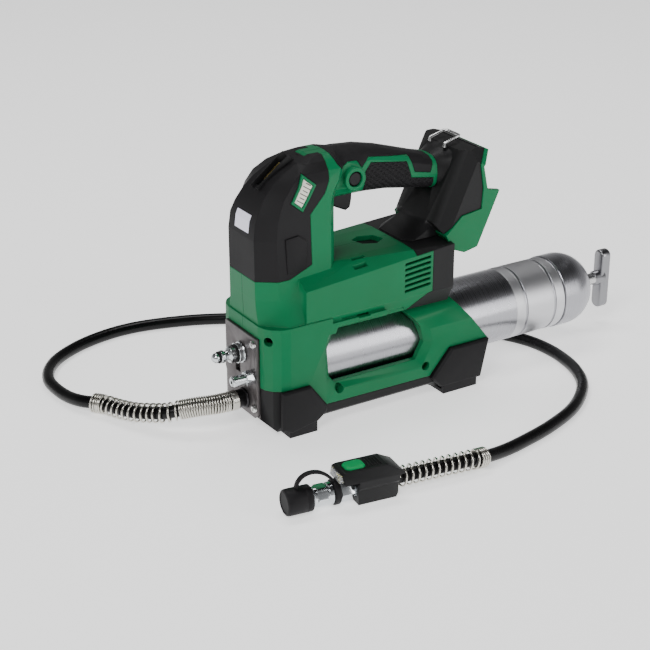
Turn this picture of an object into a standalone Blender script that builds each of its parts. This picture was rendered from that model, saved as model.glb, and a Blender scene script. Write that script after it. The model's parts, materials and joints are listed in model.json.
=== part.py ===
"""Cordless grease gun, tool only: a horizontal barrel under a motor deck, a carrying handle with the trigger,
a battery dock behind it, and a spring-guarded delivery hose that lies on the ground around the tool.

Sizes are millimetres; put() turns them to metres. +Z is up, +X points to the rear of the tool and -Y is its
left side. The origin is on the ground under the middle of the tool, between the tip of the grease nipple and
the back of the tee handle."""

import math

import bmesh
import bpy
from mathutils import Matrix, Vector

MM = 0.001

# ---------------------------------------------------------------- driving dimensions
GAP = 0.3  # air between two parts that touch
SEGMENTS = 32  # sides of a large round part
SMALL_SEGMENTS = 16

BARREL_RADIUS = 28.5
BARREL_WALL = 1.5
BARREL_HEIGHT = 41.0  # the barrel's axis over the ground
BARREL_FRONT = -127.0
BARREL_REAR = 117.6
BARREL_ROOM = 0.8  # between the barrel and the housing round it
CAP_RADIUS = 29.2
CAP_LENGTH = 39.0
ROD_RADIUS = 4.7
ROD_ROOM = 0.3  # round the rod, in the cap and in the follower
ROD_FRONT = -108.0
ROD_SHOWING = 13.0  # rod between the cap and the tee
TEE_HEIGHT = 50.0
TEE_THICKNESS = 11.0
TEE_DEPTH = 13.9
FOLLOWER_FRONT = -112.0
FOLLOWER_ROOM = 0.5
FOLLOWER_RADIUS = BARREL_RADIUS - BARREL_WALL - FOLLOWER_ROOM
FOLLOWER_SPRING_TURNS = 9

FRONT = -158.0  # front face of the housing
HALF_WIDTH = 38.0  # housing at the side walls
WALL = 5.5  # housing wall, with the covers that lie on it
SKIN = 2.9  # covers and grips that lie on the housing
DISPLAY_PROUD = 0.7  # the display's frame stands this far out of the cover
LEDGE_HEIGHT = 84.0  # top of the wide front block
FRONT_CORNER = 17.0
DECK_HEIGHT = 120.5
DECK_HALF_WIDTH = 20.0
PANEL_TOP = 108.7  # upper edge of the side panels, at the front
PANEL_RISE = 0.083  # the panels' upper edge climbs this much for each millimetre to the rear
PANEL_BOTTOM = 85.5
BLOCK_FLOOR = 72.5  # underside of the motor block
BLOCK_FLOOR_HALF_WIDTH = 31.0
BLOCK_REAR = -1.0
COVER_FRONT = -19.5  # where the green panels end and the rear cover begins
BASE_FLOOR = 8.7
SPLIT_HEIGHT = 36.3  # housing over base, at both feet
FOOT_HALF_WIDTH = HALF_WIDTH + 4.0
SOLE = 3.1  # thickness of the rubber under the base
GRILLE_SLOTS = 6

PLATE_HALF_WIDTH = 22.4
PLATE_TOP = 74.0
PLATE_FLOOR = 11.0
PLATE_FACE = -160.0
PLATE_THICKNESS = 2.2
HEAD_TOP = 67.0
HEAD_CUP_RADIUS = 31.5
NIPPLE = Vector((PLATE_FACE, 0.0, 56.5))
NIPPLE_TIP = -184.0
RELIEF = Vector((PLATE_FACE, -16.0, 43.0))
ADAPTER = Vector((PLATE_FACE, -3.5, 21.5))

DRIVE_HEIGHT = 96.5  # motor and gearbox axis over the ground
MOTOR_RADIUS = 17.4
MOTOR_FRONT = -72.0
MOTOR_LENGTH = 48.0
MOTOR_WALL = 1.5
SHAFT_RADIUS = 2.5
SUN_TEETH = 12
PLANET_TEETH = 15
RING_TEETH = SUN_TEETH + 2 * PLANET_TEETH
GEAR_MODULE = 0.68
TOOTH_HALF_DEPTH = 0.5 * GEAR_MODULE  # the teeth are shorter than standard, so that they run free
GEAR_WIDTH = 8.0
GEARS_FRONT = -97.0
PLANET_COUNT = 3
PIN_RADIUS = 1.6
RUNNING_FIT = 0.1  # on the radius, between a pin and what turns on it
ECCENTRIC_RADIUS = 8.0
ECCENTRIC_THROW = 4.0
PLUNGER_RADIUS = 4.0
PLUNGER_X = -143.0
YOKE_ROOM = 0.4

DOCK_X, DOCK_Z = 35.5, 182.0  # rear upper edge of the battery dock
DOCK_TILT = math.radians(24.5)  # the dock's slide direction leans this far from upright
DOCK_HALF_WIDTH = 33.0
CUP_HALF_WIDTH = 33.7
BAY_HALF_WIDTH = 30.5
BAY_FRONT = -3.9
BAY_FLOOR = 72.7
TERMINAL_BAY_HALF_WIDTH = 22.0

TRIGGER_PIVOT = Vector((-94.0, 0.0, 170.0))
TRIGGER_HALF_WIDTH = 6.7  # clear of the lock's flange when the lock is pressed in
TRIGGER_SLOT_HALF_WIDTH = TRIGGER_HALF_WIDTH + 1.8
LOCK_CENTRE = Vector((-76.0, 0.0, 177.0))
LOCK_RADIUS = 5.4
BOSS_RADIUS = 8.4
BOSS_FACE = -20.0

HOSE_RADIUS = 4.7
SPRING_RADIUS = 7.5  # outside of the springs that guard the hose
NOZZLE_FRONT = Vector((-202.5, -130.4, 9.4))  # middle of the nozzle cap's front face
NOZZLE_TURN = math.radians(-7.3)  # the nozzle's line, turned from the tool's own axis
COUPLER_RADIUS = 7.75
CAP_SLEEVE_RADIUS = 9.25
LAMP_BUTTON_ROOM = 0.3

# ---------------------------------------------------------------- an empty scene
for leftover in list(bpy.data.objects):
    bpy.data.objects.remove(leftover, do_unlink=True)


# ---------------------------------------------------------------- materials
def material(name, colour, roughness, metallic=0.0):
    found = bpy.data.materials.new(name)
    found.use_nodes = True
    shader = found.node_tree.nodes["Principled BSDF"]
    shader.inputs["Base Color"].default_value = (*colour, 1.0)
    shader.inputs["Roughness"].default_value = roughness
    shader.inputs["Metallic"].default_value = metallic
    found.diffuse_color = (*colour, 1.0)
    return found


GREEN = material("green_nylon", (0.0, 0.28, 0.13), 0.45)
BLACK = material("black_nylon", (0.022, 0.022, 0.024), 0.55)
RUBBER = material("black_rubber", (0.018, 0.017, 0.018), 0.75)
HOSE_RUBBER = material("hose_rubber", (0.008, 0.008, 0.008), 0.35)
ALUMINIUM = material("brushed_aluminium", (0.68, 0.68, 0.70), 0.32, 1.0)
STEEL = material("steel", (0.55, 0.55, 0.56), 0.35, 1.0)
ZINC = material("zinc_plated_steel", (0.72, 0.73, 0.74), 0.22, 1.0)
CASTING = material("grey_casting", (0.11, 0.105, 0.11), 0.6, 0.4)
BRASS = material("brass", (0.75, 0.52, 0.2), 0.3, 1.0)
BOARD = material("circuit_board", (0.02, 0.14, 0.06), 0.6)
LENS = material("clear_lens", (0.85, 0.86, 0.9), 0.15)
BRIGHT_GREEN = material("bright_green_plastic", (0.0, 0.42, 0.16), 0.4)


# ---------------------------------------------------------------- shape helpers
def put(name, shape, finish, at=(0, 0, 0)):
    """A bmesh in millimetres as a named object, its faces pointing out. `at` is where the object's origin goes."""
    bmesh.ops.translate(shape, verts=shape.verts, vec=-Vector(at))
    bmesh.ops.scale(shape, verts=shape.verts, vec=(MM, MM, MM))
    bmesh.ops.triangulate(shape, faces=shape.faces)  # a Boolean needs flat faces
    bmesh.ops.recalc_face_normals(shape, faces=shape.faces)
    mesh = bpy.data.meshes.new(name)
    shape.to_mesh(mesh)
    shape.free()
    mesh.shade_smooth()
    mesh.set_sharp_from_angle(angle=math.radians(35))
    mesh.materials.append(finish)
    piece = bpy.data.objects.new(name, mesh)
    piece.location = Vector(at) * MM
    bpy.context.scene.collection.objects.link(piece)
    return piece


def copy_of(name, form, finish):
    """A new piece that starts from another object's finished solid."""
    mesh = form.data.copy()
    mesh.materials.clear()
    mesh.materials.append(finish)
    piece = bpy.data.objects.new(name, mesh)
    bpy.context.scene.collection.objects.link(piece)
    return piece


def tool(shape, name="cutter"):
    """A solid that only cuts or joins: it isn't part of the object."""
    piece = put(name, shape, BLACK)
    piece.hide_render = True
    piece.display_type = "WIRE"
    return piece


def change(piece, operation, helpers):
    for helper in helpers:
        modifier = piece.modifiers.new(operation.lower(), "BOOLEAN")
        modifier.operation = operation
        modifier.object = helper if isinstance(helper, bpy.types.Object) else tool(helper)
        modifier.solver = "EXACT"
    return piece


def cut(piece, *helpers):
    return change(piece, "DIFFERENCE", helpers)


def join(piece, *helpers):
    return change(piece, "UNION", helpers)


def keep(piece, *helpers):
    return change(piece, "INTERSECT", helpers)


def settle(piece):
    """Applies the modifiers, so that a solid can serve many times without being worked out again."""
    bpy.context.view_layer.update()
    graph = bpy.context.evaluated_depsgraph_get()
    solid = bpy.data.meshes.new_from_object(piece.evaluated_get(graph))
    piece.modifiers.clear()
    piece.data = solid
    return piece


def stack(rings):
    """A closed solid through rings of corners, each ring with the same number of points."""
    shape = bmesh.new()
    rows = [[shape.verts.new(point) for point in ring] for ring in rings]
    for lower, upper in zip(rows, rows[1:]):
        count = len(lower)
        for i in range(count):
            j = (i + 1) % count
            shape.faces.new((lower[i], lower[j], upper[j], upper[i]))
    shape.faces.new(rows[0])
    shape.faces.new(rows[-1])
    return shape


def slab(outline, left, right):
    """A side outline of (x, z) corners, from y = left to y = right."""
    return stack([[(x, left, z) for x, z in outline], [(x, right, z) for x, z in outline]])


def across(outline, front, rear):
    """A cross-section of (y, z) corners, from x = front to x = rear."""
    return stack([[(front, y, z) for y, z in outline], [(rear, y, z) for y, z in outline]])


def block(low, high):
    return slab([(low[0], low[2]), (high[0], low[2]), (high[0], high[2]), (low[0], high[2])], low[1], high[1])


def symmetric(outline):
    """One side of a ring as (a, half width) pairs, and its mirror image, in order round the ring."""
    return [(a, -half) for a, half in outline] + [(a, half) for a, half in reversed(outline)]


def turn_to(direction):
    return Vector((1, 0, 0)).rotation_difference(Vector(direction).normalized()).to_matrix().to_4x4()


def turned(profile, centre, along=(1, 0, 0), segments=SEGMENTS):
    """A closed outline of (distance along, radius) corners, turned about a line through the centre."""
    shape = bmesh.new()
    rings = []
    for distance, radius in profile:
        if radius == 0:
            rings.append([shape.verts.new((distance, 0, 0))] * segments)
            continue
        angles = [2 * math.pi * step / segments for step in range(segments)]
        rings.append([shape.verts.new((distance, radius * math.cos(a), radius * math.sin(a))) for a in angles])
    for ring, following in zip(rings, rings[1:] + rings[:1]):
        for i in range(segments):
            j = (i + 1) % segments
            corners = list(dict.fromkeys((ring[i], ring[j], following[j], following[i])))
            if len(corners) > 2:
                shape.faces.new(corners)
    bmesh.ops.transform(shape, matrix=Matrix.Translation(Vector(centre)) @ turn_to(along), verts=shape.verts)
    return shape


def rod(start, end, radius, segments=SEGMENTS):
    """A plain round bar between two points."""
    line = Vector(end) - Vector(start)
    return turned([(0, 0), (line.length, 0), (line.length, radius), (0, radius)], start, line, segments)


def pipe(start, end, outer, inner, segments=SEGMENTS):
    """A straight tube between two points."""
    line = Vector(end) - Vector(start)
    corners = [(0, inner), (line.length, inner), (line.length, outer), (0, outer)]
    return turned(corners, start, line, segments)


def prism(centre, along, length, across_flats, sides=6):
    """A bar with a regular section, such as a hexagon, from a centre point along a direction."""
    return turned(
        [(0, 0), (length, 0), (length, across_flats / 2 / math.cos(math.pi / sides)),
         (0, across_flats / 2 / math.cos(math.pi / sides))],
        centre, along, sides,
    )


def together(shapes):
    """Several separate shapes in one mesh, for a tool that cuts in many places at once."""
    whole = bmesh.new()
    for shape in shapes:
        mesh = bpy.data.meshes.new("part_of_tool")
        shape.to_mesh(mesh)
        shape.free()
        whole.from_mesh(mesh)
        bpy.data.meshes.remove(mesh)
    return whole


def both_sides(shape):
    """A shape on the left and its mirror image on the right."""
    other = shape.copy()
    bmesh.ops.scale(other, verts=other.verts, vec=(1, -1, 1))
    return together([shape, other])


# ---------------------------------------------------------------- the housing's outer form
# Each form takes an inset, so that the same shape gives the outside, the seat of a cover and the hollow inside.
def front_block(inset):
    """The wide lower front, with rounded front corners."""
    front = FRONT + inset
    side = HALF_WIDTH - inset
    corner = FRONT_CORNER - 0.5 * inset
    turns = [math.pi / 8 * step for step in range(5)]
    arc = [
        (front + corner - corner * math.cos(turn), side - corner + corner * math.sin(turn))
        for turn in turns
    ]
    plan = symmetric(arc + [(-106.0 - inset, side)])
    return stack([[(x, y, z) for x, y in plan] for z in (SPLIT_HEIGHT, LEDGE_HEIGHT - inset)])


# height, front x, half width of the front facet, x where the side begins, half width there, rear x
COLUMN_LEVELS = (
    (70, -157.0, 21.0, -141, 37.4, -92),
    (85, -157.0, 20.5, -141, 36.0, -92),
    (92, -157.4, 19.0, -142, 31.0, -93),
    (102, -157.8, 18.3, -144, 28.0, -95),
    (146, -158.0, 18.0, -145, 27.0, -95),
    (158, -156.5, 17.5, -144, 27.0, -95),
    (166, -153.0, 16.5, -142, 27.0, -95),
    (174, -147.8, 15.0, -139, 26.8, -93),
    (182, -140.2, 13.5, -133, 26.0, -88),
    (189, -129.0, 12.0, -124, 22.5, -84),
    (194, -118.5, 11.0, -114, 17.0, -84),
    (197.2, -107.0, 9.5, -105, 11.5, -86),
)


def column(inset):
    """The upright behind the front cover. It leans back at the top, into the handle."""
    rings = []
    for height, front, facet, side_start, half, rear in COLUMN_LEVELS:
        lean = min(max((height - 166) / 30, 0), 1)
        side = half - inset
        corner = min(6, side / 2)
        narrow = min(facet - 0.4 * inset, side - 0.5)
        plan = symmetric(
            [
                (front + inset, narrow),
                (side_start + 0.4 * inset + 0.6 * inset * lean, side),
                (rear - inset - corner, side),
                (rear - inset, side - corner),
            ]
        )
        rings.append([(x, y, height - inset * lean) for x, y in plan])
    return stack(rings)


def motor_block(inset, rear=BLOCK_REAR, front=-128.0):
    """The deck over the barrel, which holds the motor: sloping shoulders, upright panels, a chamfered underside."""
    rings = []
    for x in (front + inset, rear):
        section = [
            (DECK_HEIGHT - inset, DECK_HALF_WIDTH - 0.5 * inset),
            (PANEL_TOP + (x + 128) * PANEL_RISE - 0.4 * inset, HALF_WIDTH - inset),
            (PANEL_BOTTOM + 0.4 * inset, HALF_WIDTH - inset),
            (BLOCK_FLOOR + inset, BLOCK_FLOOR_HALF_WIDTH - 0.6 * inset),
        ]
        rings.append([(x, y, z) for z, y in symmetric(section)])
    return stack(rings)


# x, top z, bottom z, half width
HANDLE_STATIONS = (
    (-112, 196.3, 160.0, 16.5),
    (-98, 197.3, 161.0, 16.5),
    (-80, 197.2, 161.5, 16.5),
    (-62, 195.8, 161.5, 16.5),
    (-44, 191.8, 160.3, 16.2),
    (-25, 186.0, 157.0, 15.8),
    (-12, 182.0, 155.0, 15.4),
    (-1.5, 179.4, 153.4, 15.0),
)
HANDLE_SIDES = 16
HANDLE_FULLNESS = 0.72  # under 1 squares the oval off


def handle(inset):
    """The arched carrying handle, an upright rounded oval in section, closed at its rear end."""
    rings = []
    for x, top, bottom, half in HANDLE_STATIONS:
        middle = (top + bottom) / 2
        rise = (top - bottom) / 2 - inset
        width = half - inset
        ring = []
        for step in range(HANDLE_SIDES):
            angle = 2 * math.pi * step / HANDLE_SIDES
            c, s = math.cos(angle), math.sin(angle)
            y = width * math.copysign(abs(c) ** HANDLE_FULLNESS, c)
            z = middle + rise * math.copysign(abs(s) ** HANDLE_FULLNESS, s)
            ring.append((x - inset * math.copysign(1, x + 60), y, z))
        rings.append(ring)
    return stack(rings)


WINDOW = [
    (-101.6, 76.6), (-108.6, 59.3), (-107, 37.4), (-102.4, 31.4), (-30.5, 31.5), (-23.5, 44.5), (-26.8, 57.8),
    (-38.5, 72), (-42, 76.6),
]
SIDE_WALL = [
    (-126, SPLIT_HEIGHT), (-112.7, 17.7), (-20.3, 16.9), (-3, SPLIT_HEIGHT), (-3, 56), (-45, 56), (-60, 80),
    (-126, 80),
]
COLLAR = [(-45, SPLIT_HEIGHT), (33, SPLIT_HEIGHT), (-0.5, 78.5), (-40, 78.5)]
BASE_TOP = [(FRONT, 36.0), (-125.8, 36.0), (-112.5, 17.4), (-20.5, 16.6), (-3.2, 36.0), (33, 36.0)]
BASE_BOTTOM = [
    (26.5, 7), (23, SOLE + GAP), (-11, SOLE + GAP), (-20.5, BASE_FLOOR), (-113, BASE_FLOOR), (-121, SOLE + GAP),
    (-150, SOLE + GAP), (FRONT, 11),
]


def grown(outline, margin):
    """An outline with every edge moved outwards by a margin, or inwards by a negative one."""
    points = [Vector(point) for point in outline]
    around = zip(points, points[1:] + points[:1])
    turning = math.copysign(1, sum(here.x * after.y - after.x * here.y for here, after in around))
    moved = []
    for before, here, after in zip(points[-1:] + points[:-1], points, points[1:] + points[:1]):
        first = (here - before).normalized()
        second = (after - here).normalized()
        out = Vector((first.y, -first.x)) * turning
        bisector = (out + Vector((second.y, -second.x)) * turning).normalized()
        moved.append(tuple(here + bisector * margin / max(bisector.dot(out), 0.3)))
    return moved


def collar(margin=0.0):
    """The sleeve of the housing round the barrel, behind the window: upright sides and a rounded top."""
    section = [(z, half + margin) for z, half in ((34, HALF_WIDTH), (56, HALF_WIDTH), (67, HALF_WIDTH - 7))]
    section += [(75 + margin, 19 + margin), (78 + margin, 8 + margin)]
    sleeve = tool(stack([[(x, y, z) for z, y in symmetric(section)] for x in (-48, 40)]), "collar")
    return keep(sleeve, slab(grown(COLLAR, margin), -50, 50))


def covered_form(inset):
    """What carries covers and grips: the column, the motor block and the handle, all set in by the same depth."""
    whole = tool(column(inset), "covered_form")
    return settle(join(whole, motor_block(inset, BLOCK_REAR - inset), handle(inset)))


skin_outside = covered_form(0)
skin_inside = covered_form(SKIN)
skin_seat = covered_form(SKIN + GAP)
skin_proud = covered_form(-DISPLAY_PROUD)

FRONT_COVER = [
    (-170, 116.5), (-135, 116.5), (-117, 124), (-118, 161), (-105.8, 174.5), (-101.3, 184.5), (-97, 210),
    (-170, 210),
]
GRIP_TOP = [
    (-96, 210), (-91.5, 191), (-88.5, 187), (-84, 187), (-80, 189.4), (-72, 189), (-68.5, 183.5),
    (-62, 189.7), (-26, 184.4), (-22, 171.8), (-8, 169), (-5, 176), (-6.5, 186), (-11, 210),
]
GRIP_PALM = [
    (-65.4, 179.7), (-60.5, 185.4), (-29, 180.3), (-25, 167.6), (-5, 164), (-3.9, 148), (-65.4, 148),
]
REAR_COVER = [
    (-34, 130), (-34, 116.6), (COVER_FRONT, 117.8), (COVER_FRONT, 86), (-24, 85), (-41, 70), (5, 70), (5, 130),
]
TOP_TAB = [(-110, 190), (-92, 190), (-92, 205), (-110, 205)]
TOP_TAB_HALF_WIDTH = 6.0
STRAP_SLOT = [(-143, 178), (-136, 174), (-115, 190), (-118.5, 197), (-130, 196), (-143, 186)]
STRAP_SLOT_HALF_WIDTH = 4.5
LED_WINDOW = [(-165, 149.5), (-148, 149.5), (-148, 162), (-165, 162)]
LED_HALF_WIDTH = 9.5
DISPLAY = [(-122, 189.8), (-112.8, 181.6), (-124.2, 164.2), (-133.3, 171.7)]
DISPLAY_FRAME = 1.8  # width of the frame round the gauge


def area(outline, half_width=60.0, margin=0.0):
    """A side outline as a tool through the object, as wide as its part is."""
    shape_outline = grown(outline, margin) if margin else outline
    return slab(shape_outline, -half_width - margin, half_width + margin)


# ---------------------------------------------------------------- covers and grips
def skin(name, outline, finish, *holes):
    """A cover: what the outer form has inside an outline, down to the cover's own thickness."""
    piece = keep(copy_of(name, skin_outside, finish), area(outline))
    return cut(piece, skin_inside, *holes)


display_hole = slab(grown(DISPLAY, GAP), -40, -12)
front_cover = skin(
    "front_cover",
    FRONT_COVER,
    RUBBER,
    area(TOP_TAB, TOP_TAB_HALF_WIDTH, GAP),
    area(STRAP_SLOT, STRAP_SLOT_HALF_WIDTH),
    area(LED_WINDOW, LED_HALF_WIDTH, GAP),
    display_hole,
)
grip_top = skin("grip_top", GRIP_TOP, RUBBER, area(TOP_TAB, TOP_TAB_HALF_WIDTH, GAP))
grip_palm = skin("grip_palm", GRIP_PALM, RUBBER)
collar_room = [
    (-20, 75.0), (-14, 78.4), (14, 78.4), (20, 75.0), (32, 66.0), (32, 60.0), (-32, 60.0), (-32, 66.0),
]
rear_cover = skin("rear_cover", REAR_COVER, BLACK, across(collar_room, -60, 20))

display_bezel = keep(copy_of("display_bezel", skin_proud, GREEN), slab(DISPLAY, -40, -12))
cut(display_bezel, skin_inside, slab(grown(DISPLAY, -DISPLAY_FRAME), -40, -12))
display_gauge = keep(
    copy_of("display_gauge", skin_outside, LENS), slab(grown(DISPLAY, -DISPLAY_FRAME - GAP), -40, -12)
)
cut(display_gauge, skin_inside)
led_lens = keep(copy_of("led_lens", skin_outside, LENS), area(LED_WINDOW, LED_HALF_WIDTH))
cut(led_lens, skin_inside)

# ---------------------------------------------------------------- the two housing halves
bore_radius = BARREL_RADIUS + BARREL_ROOM
hollow = tool(front_block(WALL), "hollow")
join(
    hollow,
    column(WALL),
    motor_block(WALL, BLOCK_REAR - 7.0),
    handle(WALL),
    block((-140, -HEAD_CUP_RADIUS - 0.8, 0), (-116, HEAD_CUP_RADIUS + 0.8, PLATE_TOP)),
    block((-200, -PLATE_HALF_WIDTH - GAP, 0), (-130, PLATE_HALF_WIDTH + GAP, PLATE_TOP + GAP)),
    rod((-126, 0, BARREL_HEIGHT), (100, 0, BARREL_HEIGHT), bore_radius),
    block((-126, -bore_radius, 0), (100, bore_radius, BARREL_HEIGHT)),
)
settle(hollow)

BULGE = Vector((0, 20.0, 36.0))
BULGE_RADIUS = 8.5
bulge_room = rod((-170, BULGE.y, BULGE.z), (-130, BULGE.y, BULGE.z), BULGE_RADIUS + 2 * GAP)
bulge_cutter = tool(bulge_room, "bulge_room")

housing = copy_of("housing", skin_outside, GREEN)
cut(housing, area(FRONT_COVER, margin=GAP), area(GRIP_TOP, margin=GAP), area(GRIP_PALM, margin=GAP))
cut(housing, area(REAR_COVER, margin=GAP))
join(housing, skin_seat)
top_tab = tool(column(0), "top_tab")
keep(join(top_tab, handle(0)), area(TOP_TAB, TOP_TAB_HALF_WIDTH))
join(housing, top_tab, front_block(0), slab(SIDE_WALL, -HALF_WIDTH, HALF_WIDTH), collar())
boss = rod((LOCK_CENTRE.x, BOSS_FACE, LOCK_CENTRE.z), (LOCK_CENTRE.x, -9, LOCK_CENTRE.z), BOSS_RADIUS)
join(housing, boss)
cut(housing, hollow, bulge_cutter)

window_deep = [(x, min(z, BLOCK_FLOOR - 0.4)) for x, z in WINDOW[:-1]]
cut(housing, both_sides(slab(WINDOW, -60, -BLOCK_FLOOR_HALF_WIDTH + 0.2)))
cut(housing, both_sides(slab(window_deep, -61, -12)))
window_chamfer = stack(
    [
        [(x, -HALF_WIDTH - 0.5, z) for x, z in grown(WINDOW, 5.5)],
        [(x, -HALF_WIDTH + 4.5, z) for x, z in grown(WINDOW, 0.5)],
    ]
)
chamfer_room = keep(tool(both_sides(window_chamfer), "window_chamfer"), block((-130, -50, 0), (10, 50, 71.8)))
cut(housing, chamfer_room)

slots = []
for i in range(GRILLE_SLOTS):
    low = 89.6 + 4.2 * i
    rise = 23 * PANEL_RISE
    slots.append(slab([(-44.5, low), (-21.8, low + rise), (-21.8, low + rise + 2.1), (-44.5, low + 2.1)], -45, -28))
for y in (-25.5, -32.0):
    slots.append(block((-83 + 0.3 * (y + 25), y - 1.6, 100), (-72 + 0.3 * (y + 25), y + 1.6, 125)))
for z in (76.2, 80.0):
    slots.append(block((-84, -40, z - 0.9), (-74, -26, z + 0.9)))
cut(housing, both_sides(together(slots)))

DECK_OPENING = [(-63, 5), (-55, 9.5), (-44, 6), (-41, -4), (-50, -9.5), (-60, -5)]
cut(housing, stack([[(x, y, z) for x, y in DECK_OPENING] for z in (DECK_HEIGHT - 12, DECK_HEIGHT + 5)]))
trigger_slot = block((-99, -TRIGGER_SLOT_HALF_WIDTH, 150), (-67.2, TRIGGER_SLOT_HALF_WIDTH, 172))
lock_hole = rod((LOCK_CENTRE.x, -30, LOCK_CENTRE.z), (LOCK_CENTRE.x, -5, LOCK_CENTRE.z), LOCK_RADIUS + GAP)
flange_room = rod((LOCK_CENTRE.x, -11, LOCK_CENTRE.z), (LOCK_CENTRE.x, -5, LOCK_CENTRE.z), LOCK_RADIUS + 2)
wire_hole = rod((-20, 0, 167), (5, 0, 167), 5.0, SMALL_SEGMENTS)
strap_pocket = area(STRAP_SLOT, STRAP_SLOT_HALF_WIDTH)
SCREW_HOLES = [(-153.5, 74.5), (-100.0, 27.0), (-24.0, 26.0)]
screw_room = [rod((x, -50, z), (x, -HALF_WIDTH + 6, z), 3.4, SMALL_SEGMENTS) for x, z in SCREW_HOLES[1:]]
nose_screw = rod((-156.5, -32, 74.5), (-147.5, -23, 74.5), 3.4, SMALL_SEGMENTS)
all_screw_room = both_sides(together(screw_room + [nose_screw]))
cut(housing, trigger_slot, lock_hole, flange_room, wire_hole, strap_pocket, all_screw_room)
boss_room = rod((LOCK_CENTRE.x, -30, LOCK_CENTRE.z), (LOCK_CENTRE.x, -5, LOCK_CENTRE.z), BOSS_RADIUS + GAP)
cut(grip_top, boss_room)
settle(housing)
housing.hide_render = True
housing.display_type = "WIRE"

SPLIT = GAP / 2  # half of the gap between the two halves
housing_left = keep(copy_of("housing_left", housing, GREEN), block((-200, -60, -10), (100, -SPLIT, 250)))
housing_right = keep(copy_of("housing_right", housing, GREEN), block((-200, SPLIT, -10), (100, 60, 250)))

# ---------------------------------------------------------------- base and feet
base_outline = BASE_TOP + BASE_BOTTOM
base_section = [(40, HALF_WIDTH), (11, HALF_WIDTH), (BASE_FLOOR, HALF_WIDTH - 2.3), (SOLE, HALF_WIDTH - 5)]
base_tray = put("base_tray", slab(base_outline, -HALF_WIDTH, HALF_WIDTH), BLACK)
plan = symmetric([(FRONT, 21), (FRONT + 5, 33), (FRONT + 17, HALF_WIDTH), (45, HALF_WIDTH)])
keep(base_tray, across([(y, z) for z, y in symmetric(base_section)], -170, 50))
keep(base_tray, stack([[(x, y, z) for x, y in plan] for z in (-1, 50)]))
cut(
    base_tray,
    rod((-126, 0, BARREL_HEIGHT), (100, 0, BARREL_HEIGHT), bore_radius),
    rod((-135.6, 0, BARREL_HEIGHT), (-117.4, 0, BARREL_HEIGHT), HEAD_CUP_RADIUS + 2 * GAP),
    block((-200, -PLATE_HALF_WIDTH - GAP, PLATE_FLOOR - GAP), (-133, PLATE_HALF_WIDTH + GAP, 60)),
    bulge_cutter,
)

FRONT_FOOT = [(-150, 37), (-126, 37), (-112.5, 19), (-112.5, 14), (-120, 8), (-142.6, 3.5), (-150, 7)]
REAR_FOOT = [(-20, 15.5), (-2.5, 36.5), (32.7, 36.5), (26, 6), (-11.4, 6.4)]


def foot(name, outline, sole_start, sole_end, side):
    """A rubber pad on the base's side that wraps under it and carries the tool."""
    inner = HALF_WIDTH + GAP
    rings = ((inner, 0), (FOOT_HALF_WIDTH - 1.5, 0), (FOOT_HALF_WIDTH, -1.5))
    layers = [[(x, side * y, z) for x, z in grown(outline, margin)] for y, margin in rings]
    pad = put(name, stack(layers), RUBBER)
    edges = sorted((side * (FOOT_HALF_WIDTH - 1), side * 24))
    sole = block((sole_start, edges[0], 0), (sole_end, edges[1], SOLE))
    edges = sorted((side * (FOOT_HALF_WIDTH - 1), side * inner))
    wrap = block((sole_start, edges[0], 0.1), (sole_end, edges[1], 10))
    return join(pad, sole, wrap)


for side, hand in ((-1, "left"), (1, "right")):
    foot("foot_front_" + hand, FRONT_FOOT, -144, -121, side)
    foot("foot_rear_" + hand, REAR_FOOT, -9, 22, side)

# ---------------------------------------------------------------- pump head and its fittings
HEAD_FRONT = PLATE_FACE + PLATE_THICKNESS + GAP
cup_start = BARREL_FRONT - 8
pump_head = put("pump_head", block((HEAD_FRONT, -22, PLATE_FLOOR), (cup_start + 1, 22, HEAD_TOP)), CASTING)
socket = BARREL_RADIUS + GAP
cup_profile = [
    (0, 0), (8 - GAP, 0), (8 - GAP, socket), (17, socket), (17, HEAD_CUP_RADIUS), (0, HEAD_CUP_RADIUS),
]
join(pump_head, turned(cup_profile, (cup_start, 0, BARREL_HEIGHT)))
join(pump_head, rod((HEAD_FRONT, BULGE.y, BULGE.z), (cup_start + 1, BULGE.y, BULGE.z), BULGE_RADIUS))
CHAMBER_FLOOR = 38.0
SHANK_END = -150.0
NIPPLE_SHANK, RELIEF_SHANK, ADAPTER_SHANK = 3.6, 3.4, 4.6
cut(
    pump_head,
    rod((PLUNGER_X, 0, CHAMBER_FLOOR), (PLUNGER_X, 0, HEAD_TOP + 5), PLUNGER_RADIUS + GAP, SMALL_SEGMENTS),
    rod((BARREL_FRONT + 1, 0, BARREL_HEIGHT), (PLUNGER_X, 0, BARREL_HEIGHT), 5.0, SMALL_SEGMENTS),
    rod((-170, NIPPLE.y, NIPPLE.z), (SHANK_END, NIPPLE.y, NIPPLE.z), NIPPLE_SHANK + GAP, SMALL_SEGMENTS),
    rod((-170, RELIEF.y, RELIEF.z), (SHANK_END, RELIEF.y, RELIEF.z), RELIEF_SHANK + GAP, SMALL_SEGMENTS),
    rod((-170, ADAPTER.y, ADAPTER.z), (SHANK_END, ADAPTER.y, ADAPTER.z), ADAPTER_SHANK + GAP, SMALL_SEGMENTS),
    rod((SHANK_END - 1, ADAPTER.y, ADAPTER.z), (PLUNGER_X, ADAPTER.y, ADAPTER.z), 2.5, SMALL_SEGMENTS),
    rod((PLUNGER_X, ADAPTER.y, ADAPTER.z), (PLUNGER_X, ADAPTER.y, CHAMBER_FLOOR + 2), 2.0, SMALL_SEGMENTS),
)

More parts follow.
